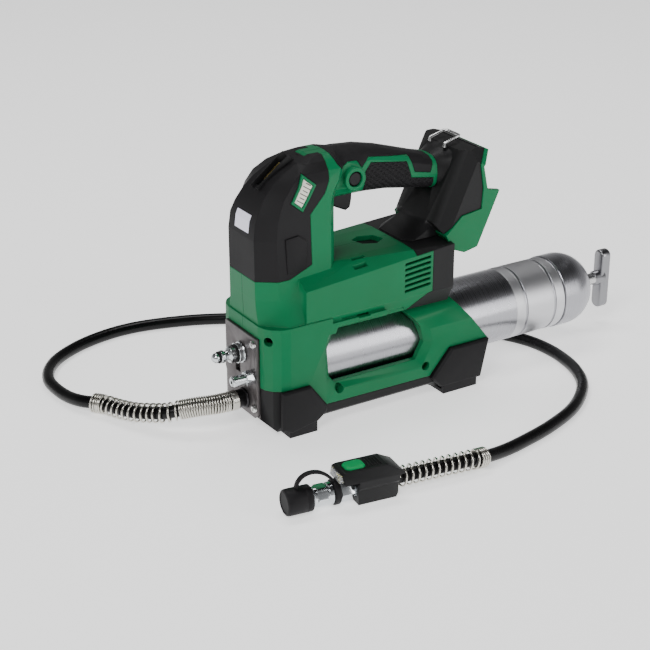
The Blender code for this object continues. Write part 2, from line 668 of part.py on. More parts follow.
PLATE_SCREWS = [(-19.0, 69.5), (-19.0, 19.0)]
SCREW_SHANK = 1.6
plate_outline = [
    (-PLATE_HALF_WIDTH, PLATE_TOP), (-PLATE_HALF_WIDTH, 15), (-18.4, PLATE_FLOOR), (18.4, PLATE_FLOOR),
    (PLATE_HALF_WIDTH, 15), (PLATE_HALF_WIDTH, PLATE_TOP),
]
front_plate = put("front_plate", across(plate_outline, PLATE_FACE, PLATE_FACE + PLATE_THICKNESS), STEEL)
cut(
    front_plate,
    rod((-170, NIPPLE.y, NIPPLE.z), (-150, NIPPLE.y, NIPPLE.z), NIPPLE_SHANK + GAP, SMALL_SEGMENTS),
    rod((-170, RELIEF.y, RELIEF.z), (-150, RELIEF.y, RELIEF.z), RELIEF_SHANK + GAP, SMALL_SEGMENTS),
    rod((-170, ADAPTER.y, ADAPTER.z), (-150, ADAPTER.y, ADAPTER.z), ADAPTER_SHANK + GAP, SMALL_SEGMENTS),
    block((-170, 1.5, 39.5), (-150, 8.5, 48)),
)
screw_names = ("plate_screw_top", "plate_screw_bottom")
for name, (y, z) in zip(screw_names, PLATE_SCREWS):
    head = [(0, 0), (8, 0), (8, SCREW_SHANK), (1.8, SCREW_SHANK), (1.8, 3.0), (0.6, 3.0), (0, 2.2)]
    put(name, turned(head, (PLATE_FACE - 1.8 - GAP, y, z), segments=SMALL_SEGMENTS), ZINC)
    hole = rod((-170, y, z), (-150, y, z), SCREW_SHANK + GAP, SMALL_SEGMENTS)
    screw_hole = tool(hole, name + "_hole")
    cut(front_plate, screw_hole)
    cut(pump_head, screw_hole)

seat = PLATE_FACE - GAP  # where the fittings' collars bear on the plate
nipple_length = seat - NIPPLE_TIP
nipple_profile = [
    (SHANK_END - 0.5 - seat, 0), (SHANK_END - 0.5 - seat, NIPPLE_SHANK), (0, NIPPLE_SHANK), (0, 7.4), (-4.2, 7.4),
    (-4.6, 6.6), (-5.6, 6.6), (-6, 6.2), (-9.5, 6.2), (-11.5, 3.6), (-13.4, 3.4), (-14.6, 4.6), (-17.6, 4.6),
    (-19.2, 3.0), (-20.4, 3.0), (-21.4, 3.6), (-nipple_length + 0.9, 3.3), (-nipple_length, 1.6),
    (-nipple_length, 0),
]
put("grease_nipple", turned(nipple_profile, (seat, NIPPLE.y, NIPPLE.z), segments=SMALL_SEGMENTS), ZINC)

relief_valve = put("relief_valve", prism((seat, RELIEF.y, RELIEF.z), (-1, 0, 0), 6.0, 9.4), ZINC)
relief_barrel = [
    (seat - SHANK_END + 0.5, 0), (17.0, 0), (17.0, 3.0), (16.2, 3.9), (5, 3.9), (5, RELIEF_SHANK),
    (seat - SHANK_END + 0.5, RELIEF_SHANK),
]
join(relief_valve, turned(relief_barrel, (seat, RELIEF.y, RELIEF.z), (-1, 0, 0), 18))
cut(relief_valve, rod((-180, RELIEF.y, RELIEF.z), (-170, RELIEF.y, RELIEF.z), 1.1, 8))

adapter_profile = [
    (seat - SHANK_END + 0.5, 0), (12.0, 0), (12.0, 6.6), (8.6, 6.9), (8.2, 7.3), (1.2, 7.3), (0.8, 7.8), (0, 7.8),
    (0, ADAPTER_SHANK), (seat - SHANK_END + 0.5, ADAPTER_SHANK),
]
put("hose_adapter", turned(adapter_profile, (seat, ADAPTER.y, ADAPTER.z), (-1, 0, 0), 24), STEEL)

# ---------------------------------------------------------------- barrel, follower and its rod
barrel_length = BARREL_REAR - BARREL_FRONT
barrel_profile = [(0, BARREL_RADIUS - BARREL_WALL), (barrel_length, BARREL_RADIUS - BARREL_WALL)]
barrel_profile.append((barrel_length, BARREL_RADIUS))
for groove in (107.7, 79.5):
    start = groove - BARREL_FRONT
    barrel_profile += [
        (start + 0.9, BARREL_RADIUS), (start + 0.5, BARREL_RADIUS - 0.5), (start - 0.5, BARREL_RADIUS - 0.5),
        (start - 0.9, BARREL_RADIUS),
    ]
barrel_profile.append((0, BARREL_RADIUS))
barrel_start = Vector((BARREL_FRONT, 0, BARREL_HEIGHT))
put("barrel_tube", turned(barrel_profile, barrel_start), ALUMINIUM, barrel_start)

cap_start = Vector((BARREL_REAR + GAP, 0, BARREL_HEIGHT))
skirt = BARREL_RADIUS - BARREL_WALL - GAP
rod_bore = ROD_RADIUS + ROD_ROOM
cap_profile = [
    (-8, skirt - 2), (-8, skirt), (0, skirt), (0, CAP_RADIUS), (15, CAP_RADIUS), (22, 28.3), (29, 25), (35, 19.5),
    (CAP_LENGTH - 0.6, 14), (CAP_LENGTH, 12.5), (CAP_LENGTH, rod_bore), (CAP_LENGTH - 3, rod_bore),
    (CAP_LENGTH - 3, 12), (26, 22), (14, skirt - 2),
]
put("end_cap", turned(cap_profile, cap_start, segments=30), ALUMINIUM, cap_start)

TEE_FRONT = cap_start.x + CAP_LENGTH + ROD_SHOWING
rod_start = Vector((ROD_FRONT, 0, BARREL_HEIGHT))
put("plunger_rod", rod(rod_start, (TEE_FRONT + 9, 0, BARREL_HEIGHT), ROD_RADIUS, 20), STEEL, rod_start)
tee_middle = TEE_FRONT + TEE_DEPTH / 2
tee_rings = []
for height, share in ((-0.5, 0.5), (-0.46, 0.82), (-0.4, 1), (0.4, 1), (0.46, 0.82), (0.5, 0.5)):
    z = BARREL_HEIGHT - 1.2 + height * TEE_HEIGHT
    half_x, half_y = TEE_DEPTH / 2 * share, TEE_THICKNESS / 2 * share
    corners = [(1, 0.5), (0.7, 1), (-0.7, 1), (-1, 0.5), (-1, -0.5), (-0.7, -1), (0.7, -1), (1, -0.5)]
    tee_rings.append([(tee_middle + half_x * a, half_y * b, z) for a, b in corners])
tee_handle = put("tee_handle", stack(tee_rings), ALUMINIUM, (tee_middle, 0, BARREL_HEIGHT))
cut(tee_handle, rod((TEE_FRONT - 5, 0, BARREL_HEIGHT), (TEE_FRONT + 9 + GAP, 0, BARREL_HEIGHT), rod_bore, 20))

follower = Vector((FOLLOWER_FRONT, 0, BARREL_HEIGHT))
plate_profile = [(0, rod_bore), (3, rod_bore), (3, FOLLOWER_RADIUS), (0, FOLLOWER_RADIUS)]
put("follower_plate", turned(plate_profile, follower), STEEL, follower)
seal_start = 3 + GAP
seal_profile = [
    (seal_start, rod_bore), (seal_start + 3, rod_bore), (seal_start + 3, FOLLOWER_RADIUS - 2.5),
    (seal_start + 14, FOLLOWER_RADIUS - 2.5), (seal_start + 14, FOLLOWER_RADIUS), (seal_start, FOLLOWER_RADIUS),
]
put("follower_seal", turned(seal_profile, follower), RUBBER, follower)


def coil(start, end, radius, wire, turns, per_turn=10, sides=5):
    """A round-wire spring between two points on a line parallel to X, with plain ends."""
    shape = bmesh.new()
    rings = []
    count = int(turns * per_turn)
    for i in range(count + 1):
        share = i / count
        angle = 2 * math.pi * turns * share
        centre = Vector(start).lerp(Vector(end), share)
        outward = Vector((0, math.cos(angle), math.sin(angle)))
        ring = []
        for k in range(sides):
            round_wire = 2 * math.pi * k / sides
            sideways = Vector((wire * math.sin(round_wire), 0, 0))
            offset = outward * (radius + wire * math.cos(round_wire)) + sideways
            ring.append(tuple(centre + offset))
        rings.append(ring)
    shape.free()
    return stack(rings)


spring_front = FOLLOWER_FRONT + seal_start + 3 + 2
spring_rear = cap_start.x + 24
follower_spring = coil(
    (spring_front, 0, BARREL_HEIGHT), (spring_rear, 0, BARREL_HEIGHT), 16.0, 1.2, FOLLOWER_SPRING_TURNS
)
put("follower_spring", follower_spring, STEEL)

# ---------------------------------------------------------------- motor, planetary gears and pump plunger
axis = Vector((0, 0, DRIVE_HEIGHT))
can_profile = [
    (0, SHAFT_RADIUS + GAP), (0, MOTOR_RADIUS), (MOTOR_LENGTH, MOTOR_RADIUS), (MOTOR_LENGTH, SHAFT_RADIUS + GAP),
    (MOTOR_LENGTH - MOTOR_WALL, SHAFT_RADIUS + GAP), (MOTOR_LENGTH - MOTOR_WALL, MOTOR_RADIUS - MOTOR_WALL),
    (MOTOR_WALL, MOTOR_RADIUS - MOTOR_WALL), (MOTOR_WALL, SHAFT_RADIUS + GAP),
]
put("motor_can", turned(can_profile, axis + Vector((MOTOR_FRONT, 0, 0)), segments=28), STEEL)


def toothed_ring(teeth, radius, phase, internal=False):
    """Corners of a ring of short straight-sided teeth. An internal ring's teeth point to its middle."""
    pitch = 2 * math.pi / teeth
    inward = -1 if internal else 1
    tip = radius + inward * TOOTH_HALF_DEPTH
    root = radius - inward * (TOOTH_HALF_DEPTH + 0.25 * GEAR_MODULE)
    corners = []
    for tooth in range(teeth):
        middle = phase + tooth * pitch
        for distance, share in ((root, -0.27), (tip, -0.15), (tip, 0.15), (root, 0.27)):
            angle = middle + share * pitch
            corners.append((distance * math.cos(angle), distance * math.sin(angle)))
    return corners


def round_ring(count, radius):
    """As many corners on a circle as a toothed ring has, to pair with it."""
    return [(radius * math.cos(2 * math.pi * i / count), radius * math.sin(2 * math.pi * i / count))
            for i in range(count)]


def washer(outer, inner, front, rear, centre_y=0.0, centre_z=DRIVE_HEIGHT):
    """A flat ring between two closed outlines with as many corners each."""
    shape = bmesh.new()
    loops = []
    for x, corners in ((front, outer), (rear, outer), (rear, inner), (front, inner)):
        loops.append([shape.verts.new((x, centre_y + a, centre_z + b)) for a, b in corners])
    for loop, following in zip(loops, loops[1:] + loops[:1]):
        for i in range(len(loop)):
            j = (i + 1) % len(loop)
            shape.faces.new((loop[i], loop[j], following[j], following[i]))
    return shape


sun_radius = GEAR_MODULE * SUN_TEETH / 2
planet_radius = GEAR_MODULE * PLANET_TEETH / 2
ring_radius = GEAR_MODULE * RING_TEETH / 2
pin_circle = sun_radius + planet_radius
gears_rear = GEARS_FRONT + GEAR_WIDTH

rotor_rear = MOTOR_FRONT + MOTOR_LENGTH + 10
core_radius = MOTOR_RADIUS - MOTOR_WALL - 1.5
core_front = MOTOR_FRONT + 8
core_rear = MOTOR_FRONT + MOTOR_LENGTH - 10
rotor_profile = [
    (gears_rear - 1, 0), (rotor_rear, 0), (rotor_rear, SHAFT_RADIUS), (core_rear, SHAFT_RADIUS),
    (core_rear, core_radius), (core_front, core_radius), (core_front, SHAFT_RADIUS), (gears_rear - 1, SHAFT_RADIUS),
]
rotor = put("rotor", turned(rotor_profile, axis, segments=24), STEEL, axis)
sun_corners = toothed_ring(SUN_TEETH, sun_radius, 0)
join(rotor, stack([[(x, y, z + DRIVE_HEIGHT) for y, z in sun_corners] for x in (GEARS_FRONT, gears_rear)]))

FAN_BLADES = 9
FAN_RADIUS = 15.5
fan_outline = []
for blade in range(FAN_BLADES):
    start = 2 * math.pi * blade / FAN_BLADES
    for distance, turn in ((5.0, 0), (FAN_RADIUS, 0.12), (FAN_RADIUS, 0.24), (5.0, 0.2)):
        fan_outline.append((distance * math.cos(start + turn), distance * math.sin(start + turn)))
fan_front = MOTOR_FRONT + MOTOR_LENGTH + 2
fan_bore = round_ring(len(fan_outline), SHAFT_RADIUS + GAP)
fan_washer = washer(fan_outline, fan_bore, fan_front, fan_front + 6)
put("cooling_fan", fan_washer, BLACK, axis)

ring_corners = toothed_ring(RING_TEETH, ring_radius, math.pi / RING_TEETH, internal=True)
ring_outside = round_ring(len(ring_corners), MOTOR_RADIUS)
put("ring_gear", washer(ring_outside, ring_corners, GEARS_FRONT, gears_rear), STEEL)

pins = []
for number in range(PLANET_COUNT):
    around = 2 * math.pi * number / PLANET_COUNT
    y, z = pin_circle * math.cos(around), pin_circle * math.sin(around) + DRIVE_HEIGHT
    mesh_phase = around + math.pi + (SUN_TEETH * around - math.pi) / PLANET_TEETH
    corners = toothed_ring(PLANET_TEETH, planet_radius, mesh_phase)
    bore = round_ring(len(corners), PIN_RADIUS + RUNNING_FIT)
    planet = washer(corners, bore, GEARS_FRONT, gears_rear, y, z)
    put(f"planet_gear_{number + 1}", planet, STEEL, (0, y, z))
    pins.append(rod((GEARS_FRONT - 2, y, z), (gears_rear - 1, y, z), PIN_RADIUS, 12))

CARRIER_SHAFT_RADIUS = 3.5
ECCENTRIC_WIDTH = 8.0
carrier_disc = rod((GEARS_FRONT - 4, 0, DRIVE_HEIGHT), (GEARS_FRONT - 1, 0, DRIVE_HEIGHT), 12.5, 24)
carrier = put("planet_carrier", carrier_disc, STEEL, axis)
crank_height = DRIVE_HEIGHT + ECCENTRIC_THROW
crank_front = PLUNGER_X - ECCENTRIC_WIDTH / 2
join(
    carrier,
    rod((crank_front + 4, 0, DRIVE_HEIGHT), (GEARS_FRONT - 3, 0, DRIVE_HEIGHT), CARRIER_SHAFT_RADIUS, 18),
    rod((crank_front, 0, crank_height), (crank_front + ECCENTRIC_WIDTH, 0, crank_height), ECCENTRIC_RADIUS, 24),
    *pins,
)

BEARING_FRONT = -108.0
bearing_outline = [(-16, 80), (16, 80), (19, 88), (19, 104), (13, 112), (-13, 112), (-19, 104), (-19, 88)]
bearing_plate = put("bearing_plate", across(bearing_outline, BEARING_FRONT, BEARING_FRONT + 4), ALUMINIUM)
cut(bearing_plate, rod((-120, 0, DRIVE_HEIGHT), (-90, 0, DRIVE_HEIGHT), CARRIER_SHAFT_RADIUS + RUNNING_FIT, 18))

YOKE_HALF_THICKNESS = 3.0
yoke_half_width = ECCENTRIC_THROW + ECCENTRIC_RADIUS + YOKE_ROOM
yoke_half_height = yoke_half_width + ECCENTRIC_THROW
yoke_x = (PLUNGER_X - YOKE_HALF_THICKNESS, PLUNGER_X + YOKE_HALF_THICKNESS)
yoke_rim = 3.5
yoke = block(
    (yoke_x[0], -yoke_half_width - yoke_rim, DRIVE_HEIGHT - yoke_half_height - yoke_rim),
    (yoke_x[1], yoke_half_width + yoke_rim, DRIVE_HEIGHT + yoke_half_height + yoke_rim),
)
plunger_at = (PLUNGER_X, 0, DRIVE_HEIGHT)
pump_plunger = put("pump_plunger", yoke, STEEL, plunger_at)
cut(
    pump_plunger,
    block(
        (yoke_x[0] - 5, -yoke_half_width, DRIVE_HEIGHT - yoke_half_height),
        (yoke_x[1] + 5, yoke_half_width, DRIVE_HEIGHT + yoke_half_height),
    ),
)
yoke_bottom = DRIVE_HEIGHT - yoke_half_height - yoke_rim
PLUNGER_END = 52.0
join(
    pump_plunger,
    rod((PLUNGER_X, 0, PLUNGER_END), (PLUNGER_X, 0, yoke_bottom + 1), PLUNGER_RADIUS, SMALL_SEGMENTS),
)

# ---------------------------------------------------------------- switch, trigger and lock
put("switch_body", block((-66, -8, 169.5), (-43, 8, 181)), BLACK)
put("control_board", block((-38, -8, 169.5), (-14, 8, 171.1)), BOARD)
TRIGGER = [
    (-97, 173), (-91, 173.5), (-72.5, 170.5), (-69.8, 164), (-70.2, 157), (-71.5, 151), (-75, 149.3),
    (-82, 152.5), (-86.5, 155), (-89, 161.5), (-97, 166),
]
trigger_rings = []
for y, margin in ((-TRIGGER_HALF_WIDTH, -1), (-TRIGGER_HALF_WIDTH + 1.5, 0), (TRIGGER_HALF_WIDTH - 1.5, 0),
                  (TRIGGER_HALF_WIDTH, -1)):
    trigger_rings.append([(x, y, z) for x, z in grown(TRIGGER, margin)])
trigger = put("trigger", stack(trigger_rings), BLACK, TRIGGER_PIVOT)
TRIGGER_PIN_RADIUS = 1.5
pivot_x, pivot_z = TRIGGER_PIVOT.x, TRIGGER_PIVOT.z
pin_room = rod((pivot_x, -14, pivot_z), (pivot_x, 14, pivot_z), TRIGGER_PIN_RADIUS + GAP, 12)
pin_tool = tool(pin_room, "trigger_pin_room")
cut(trigger, pin_tool)
cut(housing_left, pin_tool)
cut(housing_right, pin_tool)
put("trigger_pin", rod((pivot_x, -13.5, pivot_z), (pivot_x, 13.5, pivot_z), TRIGGER_PIN_RADIUS, 12), STEEL)
lock_profile = [
    (0, 0), (9.5, 0), (9.5, LOCK_RADIUS + 1.5), (8.5, LOCK_RADIUS + 1.5), (8.5, LOCK_RADIUS), (1, LOCK_RADIUS),
    (0, LOCK_RADIUS - 1),
]
lock_start = Vector((LOCK_CENTRE.x, BOSS_FACE + 0.8, LOCK_CENTRE.z))
put("lock_button", turned(lock_profile, lock_start, (0, 1, 0), 24), BLACK, lock_start)

# ---------------------------------------------------------------- battery dock
slide_x, slide_z = -math.sin(DOCK_TILT), -math.cos(DOCK_TILT)


def dock(points):
    """Side corners given down the slide and rearward from the dock's upper rear edge, as (x, z) in the world."""
    return [
        (DOCK_X + slide_x * down - slide_z * back, DOCK_Z + slide_z * down + slide_x * back)
        for down, back in points
    ]


RIM_OUTER = [
    (0, 0), (12.7, -3.8), (27.4, 7.3), (25, 18.3), (70, 18.3), (77, 8.6), (77.6, -4.8), (69.3, -13.5),
]
RIM_INNER = [(51.9, -6.1), (42.4, 8.8), (28, 3.5), (12, -7.3), (0, -3.5)]
SHOE = [
    (0.3, -3.9), (12.0, -7.7), (28.0, 3.1), (42.2, 8.4), (51.6, -6.5), (68.9, -13.9), (64, -22), (8, -22),
    (1.5, -12),
]
BAY = [(-8, 0.2), (0.2, 0.2), (12.9, -3.6), (14, BAY_FRONT), (BAY_FLOOR, BAY_FRONT), (BAY_FLOOR, 30), (-8, 30)]
battery_bay = tool(slab(dock(BAY), -BAY_HALF_WIDTH, BAY_HALF_WIDTH), "battery_bay")


def dock_shoulders(margin):
    """The dock seen from behind: upright sides and two cut-off upper corners, square to the slide."""
    top = [(y * (1 + margin / DOCK_HALF_WIDTH), down) for y, down in ((24, 0 - 3), (DOCK_HALF_WIDTH, 11))]
    section = [(-half, down) for half, down in top] + [(-top[1][0], 95), (top[1][0], 95)]
    section += [(half, down) for half, down in reversed(top)]
    rings = []
    for back in (-60, 40):
        ring = []
        for y, down in section:
            (x, z), = dock([(down, back)])
            ring.append((x, y, z))
        rings.append(ring)
    return stack(rings)


block_room = tool(motor_block(-GAP, BLOCK_REAR + GAP, -60), "block_room")
cup_margin = CUP_HALF_WIDTH - DOCK_HALF_WIDTH
dock_rim = put("dock_rim", slab(dock(RIM_OUTER + RIM_INNER), -CUP_HALF_WIDTH, CUP_HALF_WIDTH), GREEN)
keep(dock_rim, dock_shoulders(cup_margin))
cut(dock_rim, battery_bay, block_room)

battery_dock = put("battery_dock", slab(dock(SHOE), -DOCK_HALF_WIDTH, DOCK_HALF_WIDTH), BLACK)
keep(battery_dock, dock_shoulders(0))
nose_section = [(-DOCK_HALF_WIDTH, -11), (-27, -18), (-20, -24), (20, -24), (27, -18), (DOCK_HALF_WIDTH, -11)]
nose_section += [(DOCK_HALF_WIDTH, 20), (-DOCK_HALF_WIDTH, 20)]
nose_rings = []
for down in (-20, 100):
    ring = []
    for y, back in nose_section:
        (x, z), = dock([(down, back)])
        ring.append((x, y, z))
    nose_rings.append(ring)
keep(battery_dock, stack(nose_rings))

handle_end = HANDLE_STATIONS[-1]
FUNNEL = (  # x, middle z, half height, half width
    (handle_end[0] + GAP, (handle_end[1] + handle_end[2]) / 2, 12.8, 14.6),
    (4.0, 165.6, 15.5, 17.0),
    (10.0, 164.0, 20.0, 22.0),
    (16.0, 163.0, 21.0, 23.0),
)
funnel_rings = []
for x, middle, half_height, half in FUNNEL:
    turns = [2 * math.pi * step / 20 for step in range(20)]
    funnel_rings.append([
        (x, half * math.copysign(abs(math.cos(t)) ** 0.8, math.cos(t)),
         middle + half_height * math.copysign(abs(math.sin(t)) ** 0.8, math.sin(t)))
        for t in turns
    ])
PILLAR = (  # z, front x, rear x, half width in front, half width behind
    (DECK_HEIGHT + GAP, -33, 10, 14.0, 21.0),
    (124.5, -24, 10, 15.0, 20.5),
    (130, -13, 12, 15.5, 18.5),
    (138, -8, 14, 15.5, 17.5),
    (152, -0.5, 16, 15.0, 17.0),
)
pillar_rings = [
    [(x0, -near, z), (x0 + 7, -far, z), (x1, -far, z), (x1, far, z), (x0 + 7, far, z), (x0, near, z)]
    for z, x0, x1, near, far in PILLAR
]
cup_front = tool(slab(dock(grown(RIM_OUTER[5:] + RIM_INNER[:2] + [(60, 20)], GAP)), -40, 40), "cup_front")
join(battery_dock, stack(funnel_rings), stack(pillar_rings))
terminal_bay = tool(
    slab(dock([(8, -15), (66, -15), (66, 5), (8, 5)]), -TERMINAL_BAY_HALF_WIDTH, TERMINAL_BAY_HALF_WIDTH),
    "terminal_bay",
)
rail_groove = tool(slab(dock([(-6, -12), (68, -12), (68, -8), (-6, -8)]), -26, 26), "rail_groove")
cut(battery_dock, cup_front, battery_bay, block_room, terminal_bay, rail_groove, handle(-GAP))

terminal_outline = dock([(30, -14.7), (52, -14.7), (52, -9), (30, -9)])
terminal_block = put("terminal_block", slab(terminal_outline, -13, 13), BLACK)
for name, y in (("terminal_blade_left", -8.0), ("terminal_blade_right", 8.0)):
    blade = slab(dock([(33, -12), (50, -12), (50, -5), (33, -5)]), y - 0.5, y + 0.5)
    put(name, blade, BRASS)
    room = slab(dock([(32.7, -12.3), (54, -12.3), (54, -4), (32.7, -4)]), y - 0.8, y + 0.8)
    cut(terminal_block, room)

# ---------------------------------------------------------------- strap bar and strap loop
BAR_RADIUS = 1.3


def bent_wire(name, points, finish, radius=BAR_RADIUS):
    """A round wire bent along a few points, with capped ends."""
    curve = bpy.data.curves.new(name, "CURVE")
    curve.dimensions = "3D"
    curve.bevel_depth = radius * MM
    curve.bevel_resolution = 2
    curve.use_fill_caps = True
    spline = curve.splines.new("POLY")
    spline.points.add(len(points) - 1)
    for corner, point in zip(spline.points, points):
        corner.co = (*(Vector(point) * MM), 1)
    piece = bpy.data.objects.new(name, curve)
    curve.materials.append(finish)
    bpy.context.scene.collection.objects.link(piece)
    return piece


bent_wire("strap_bar", [(-138.6, 0, 179.8), (-137.2, 0, 183.0), (-126.5, 0, 191.6), (-122.0, 0, 190.4)], BRASS)
loop_points = [(8, -9, 183.4), (8.6, -9, 186), (20, -9, 189.4), (22.5, -7, 189.6), (22.5, 7, 189.6), (20, 9, 189.4),
               (8.6, 9, 186), (8, 9, 183.4)]
bent_wire("strap_loop", loop_points, STEEL)

# ---------------------------------------------------------------- hose, its guard springs and the nozzle
HOSE_ROUTE = [  # from the tool's hose adapter to the nozzle, on the ground from where the guard spring ends
    (-173.4, -3.5, 21.5), (-183, -2.6, 21.5), (-195, 2.4, 20.6), (-206, 9.3, 18.0), (-214.6, 15.5, 15.4),
    (-221.5, 25.6, 12.8), (-228.5, 36.5, 10.6), (-234.5, 50, 9.0), (-240, 63.7, 8.2), (-245.6, 71.5, 8.0),
    (-251.5, 81, 7.0), (-255.4, 95, 5.4), (-257.4, 112, 4.9), (-256.4, 129.1, 4.9), (-249.6, 145.5, 4.9),
    (-236.4, 160.6, 4.9), (-216.5, 173.0, 4.9), (-194.5, 181, 4.9), (-169.8, 184.8, 4.9), (-144, 182.4, 4.9),
    (-112.5, 173.2, 4.9), (-86.5, 161, 4.9), (-57, 144, 4.9), (-28, 124, 4.9), (0, 102.5, 4.9), (30, 77, 4.9),
    (57, 52, 4.9), (82, 24, 4.9), (96, 1, 4.9), (102, -20, 4.9), (102.2, -44, 4.9), (96, -70.5, 4.9),
    (81.5, -95, 4.9), (53.8, -117.6, 4.9), (20, -132, 4.9), (-15, -140.8, 4.9), (-35, -144.6, 5.6),
    (-52, -147.6, 7.9), (-66, -147.9, 9.3), (-90, -144.8, 9.4), (-121.5, -140.8, 9.4),
]
HOSE_POINTS = 78
TOOL_SPRING_END = 9  # the route's points where the guard springs end
NOZZLE_SPRING_START = 37


def smooth_route(route, count):
    """Evenly spaced points on a smooth curve through the route's own points."""
    points = [Vector(point) for point in route]
    dense = []
    for i in range(len(points) - 1):
        before = points[i - 1] if i else points[0] * 2 - points[1]
        after = points[i + 2] if i + 2 < len(points) else points[-1] * 2 - points[-2]
        here, there = points[i], points[i + 1]
        for step in range(16):
            t = step / 16
            dense.append(0.5 * (
                2 * here + (there - before) * t + (2 * before - 5 * here + 4 * there - after) * t * t
                + (3 * here - before - 3 * there + after) * t ** 3
            ))
    dense.append(points[-1])
    travelled = [0.0]
    for here, there in zip(dense, dense[1:]):
        travelled.append(travelled[-1] + (there - here).length)
    even = []
    place = 0
    for number in range(count):
        target = travelled[-1] * number / (count - 1)
        while travelled[place + 1] < target and place + 2 < len(travelled):
            place += 1
        share = (target - travelled[place]) / (travelled[place + 1] - travelled[place])
        even.append(dense[place].lerp(dense[place + 1], min(share, 1)))
    return even


hose_line = smooth_route(HOSE_ROUTE, HOSE_POINTS)


def nearest(place):
    """The number of the smooth line's point that lies closest to one of the route's own points."""
    target = Vector(HOSE_ROUTE[place])
    return min(range(HOSE_POINTS), key=lambda number: (hose_line[number] - target).length)


def shortened(points, at_start, at_end):
    """A line with its first and last points drawn in, to keep clear of what it meets."""
    points = [Vector(point) for point in points]
    points[0] += (points[1] - points[0]).normalized() * at_start
    points[-1] += (points[-2] - points[-1]).normalized() * at_end
    return points


spring_end = nearest(TOOL_SPRING_END)
spring_start = nearest(NOZZLE_SPRING_START)
bent_wire("hose_spring_tool", shortened(hose_line[:spring_end + 1], 0, GAP), STEEL, SPRING_RADIUS)
bent_wire("hose_tube", shortened(hose_line[spring_end:spring_start + 1], 2.0, 2.0), HOSE_RUBBER, HOSE_RADIUS)
bent_wire("hose_spring_nozzle", shortened(hose_line[spring_start:], GAP, GAP), STEEL, SPRING_RADIUS)

to_nozzle = Matrix.Translation(NOZZLE_FRONT) @ Matrix.Rotation(NOZZLE_TURN, 4, "Z")


def at_nozzle(shape):
    """Moves a shape made along X from the cap's front face onto the nozzle's line."""
    bmesh.ops.transform(shape, matrix=to_nozzle, verts=shape.verts)
    return shape


CAP_DEPTH = 18.5
sleeve_profile = [
    (0, 0), (0, CAP_SLEEVE_RADIUS - 1.2), (1.2, CAP_SLEEVE_RADIUS), (CAP_DEPTH, CAP_SLEEVE_RADIUS),
    (CAP_DEPTH, COUPLER_RADIUS + GAP), (2.4, COUPLER_RADIUS + GAP), (2.4, 0),
]
nozzle_cap = put("nozzle_cap", at_nozzle(turned(sleeve_profile, (0, 0, 0), segments=28)), RUBBER)
join(nozzle_cap, at_nozzle(block((15.0, -1.8, -CAP_SLEEVE_RADIUS), (20.5, 1.8, -COUPLER_RADIUS - 0.6))))

coupler_profile = [
    (3.0, 2.0), (3.0, 5.5), (6.0, COUPLER_RADIUS), (33.8, COUPLER_RADIUS), (33.8, 5.6), (38.7, 5.6), (38.7, 4.6),
    (46, 4.6), (46, 2.0),
]
put("grease_coupler", at_nozzle(turned(coupler_profile, (0, 0, 0), segments=24)), ZINC)
STRAP_BAND_HALF_WIDTH = 2.2
ring_profile = [(34.1, 5.9), (38.4, 5.9), (38.4, 8.8), (34.1, 8.8)]
cap_strap = put("cap_strap", at_nozzle(turned(ring_profile, (0, 0, 0), segments=24)), RUBBER)
STRAP_OUTER = [(36.8, 7.5), (35.2, 10.5), (30, 16.6), (23, 19.6), (15.5, 19.6), (9.5, 16.6), (7, 12)]
STRAP_INNER = [(10.0, 12.6), (12.4, 15.6), (17, 17.4), (22.5, 17.2), (28.5, 14.2), (32.6, 9.8), (34.2, 7.5)]
strap_foot = CAP_SLEEVE_RADIUS + GAP
STRAP_OUTER.append((7, strap_foot))
STRAP_INNER.insert(0, (10, strap_foot))
join(cap_strap, at_nozzle(slab(STRAP_OUTER + STRAP_INNER, -STRAP_BAND_HALF_WIDTH, STRAP_BAND_HALF_WIDTH)))

nut = prism((38.7 + GAP, 0, 0), (1, 0, 0), 9.2, 14.0)
coupler_nut = put("coupler_nut", at_nozzle(nut), ZINC)
cut(coupler_nut, at_nozzle(rod((30, 0, 0), (60, 0, 0), 4.6 + GAP, SMALL_SEGMENTS)))

LAMP_SIDE = [
    (50, -9.1), (78, -9.1), (79.5, -6), (79.5, 8.2), (84, 8.6), (83, 10), (71.5, 16.6), (40.5, 16.6), (38.2, 15.2),
    (39.5, 8.8), (50, 8.8),
]
lamp_housing = put("lamp_housing", at_nozzle(slab(LAMP_SIDE, -11.3, 11.3)), BLACK)
lamp_section = [(-11.3, 9), (-11.3, 4.2), (-9, 1.5), (-9, -9.1), (9, -9.1), (9, 1.5), (11.3, 4.2), (11.3, 9),
                (8.2, 17), (-8.2, 17)]
keep(lamp_housing, at_nozzle(across(lamp_section, 30, 90)))
LAMP_WINDOW = [(37.6, 14.9), (42.2, 14.4), (43.2, 9.6), (36.4, 9.6)]
lens_room = at_nozzle(slab(grown(LAMP_WINDOW, GAP), -8.4, 8.4))
BUTTON = [(43, -3.6), (46, -5.6), (55, -5.6), (57.5, -3.6), (57.5, 3.6), (55, 5.6), (46, 5.6), (43, 3.6)]
button_room = stack([[(s, w, z) for s, w in grown(BUTTON, LAMP_BUTTON_ROOM)] for z in (10.5, 20)])
cut(
    lamp_housing,
    lens_room,
    at_nozzle(button_room),
    at_nozzle(rod((40, 0, 0), (90, 0, 0), 6.5, SMALL_SEGMENTS)),
)
put("lamp_lens", at_nozzle(slab(LAMP_WINDOW, -8.1, 8.1)), LENS)
button_at = to_nozzle @ Vector((50, 0, 13.5))
button = stack([[(s, w, z) for s, w in BUTTON] for z in (12.8, 17.0)] + [
    [(s, w, 17.9) for s, w in grown(BUTTON, -0.9)]
])
put("lamp_button", at_nozzle(button), BRIGHT_GREEN, button_at)
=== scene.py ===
import json
import math

import bmesh
import bpy
from mathutils import Matrix, Vector


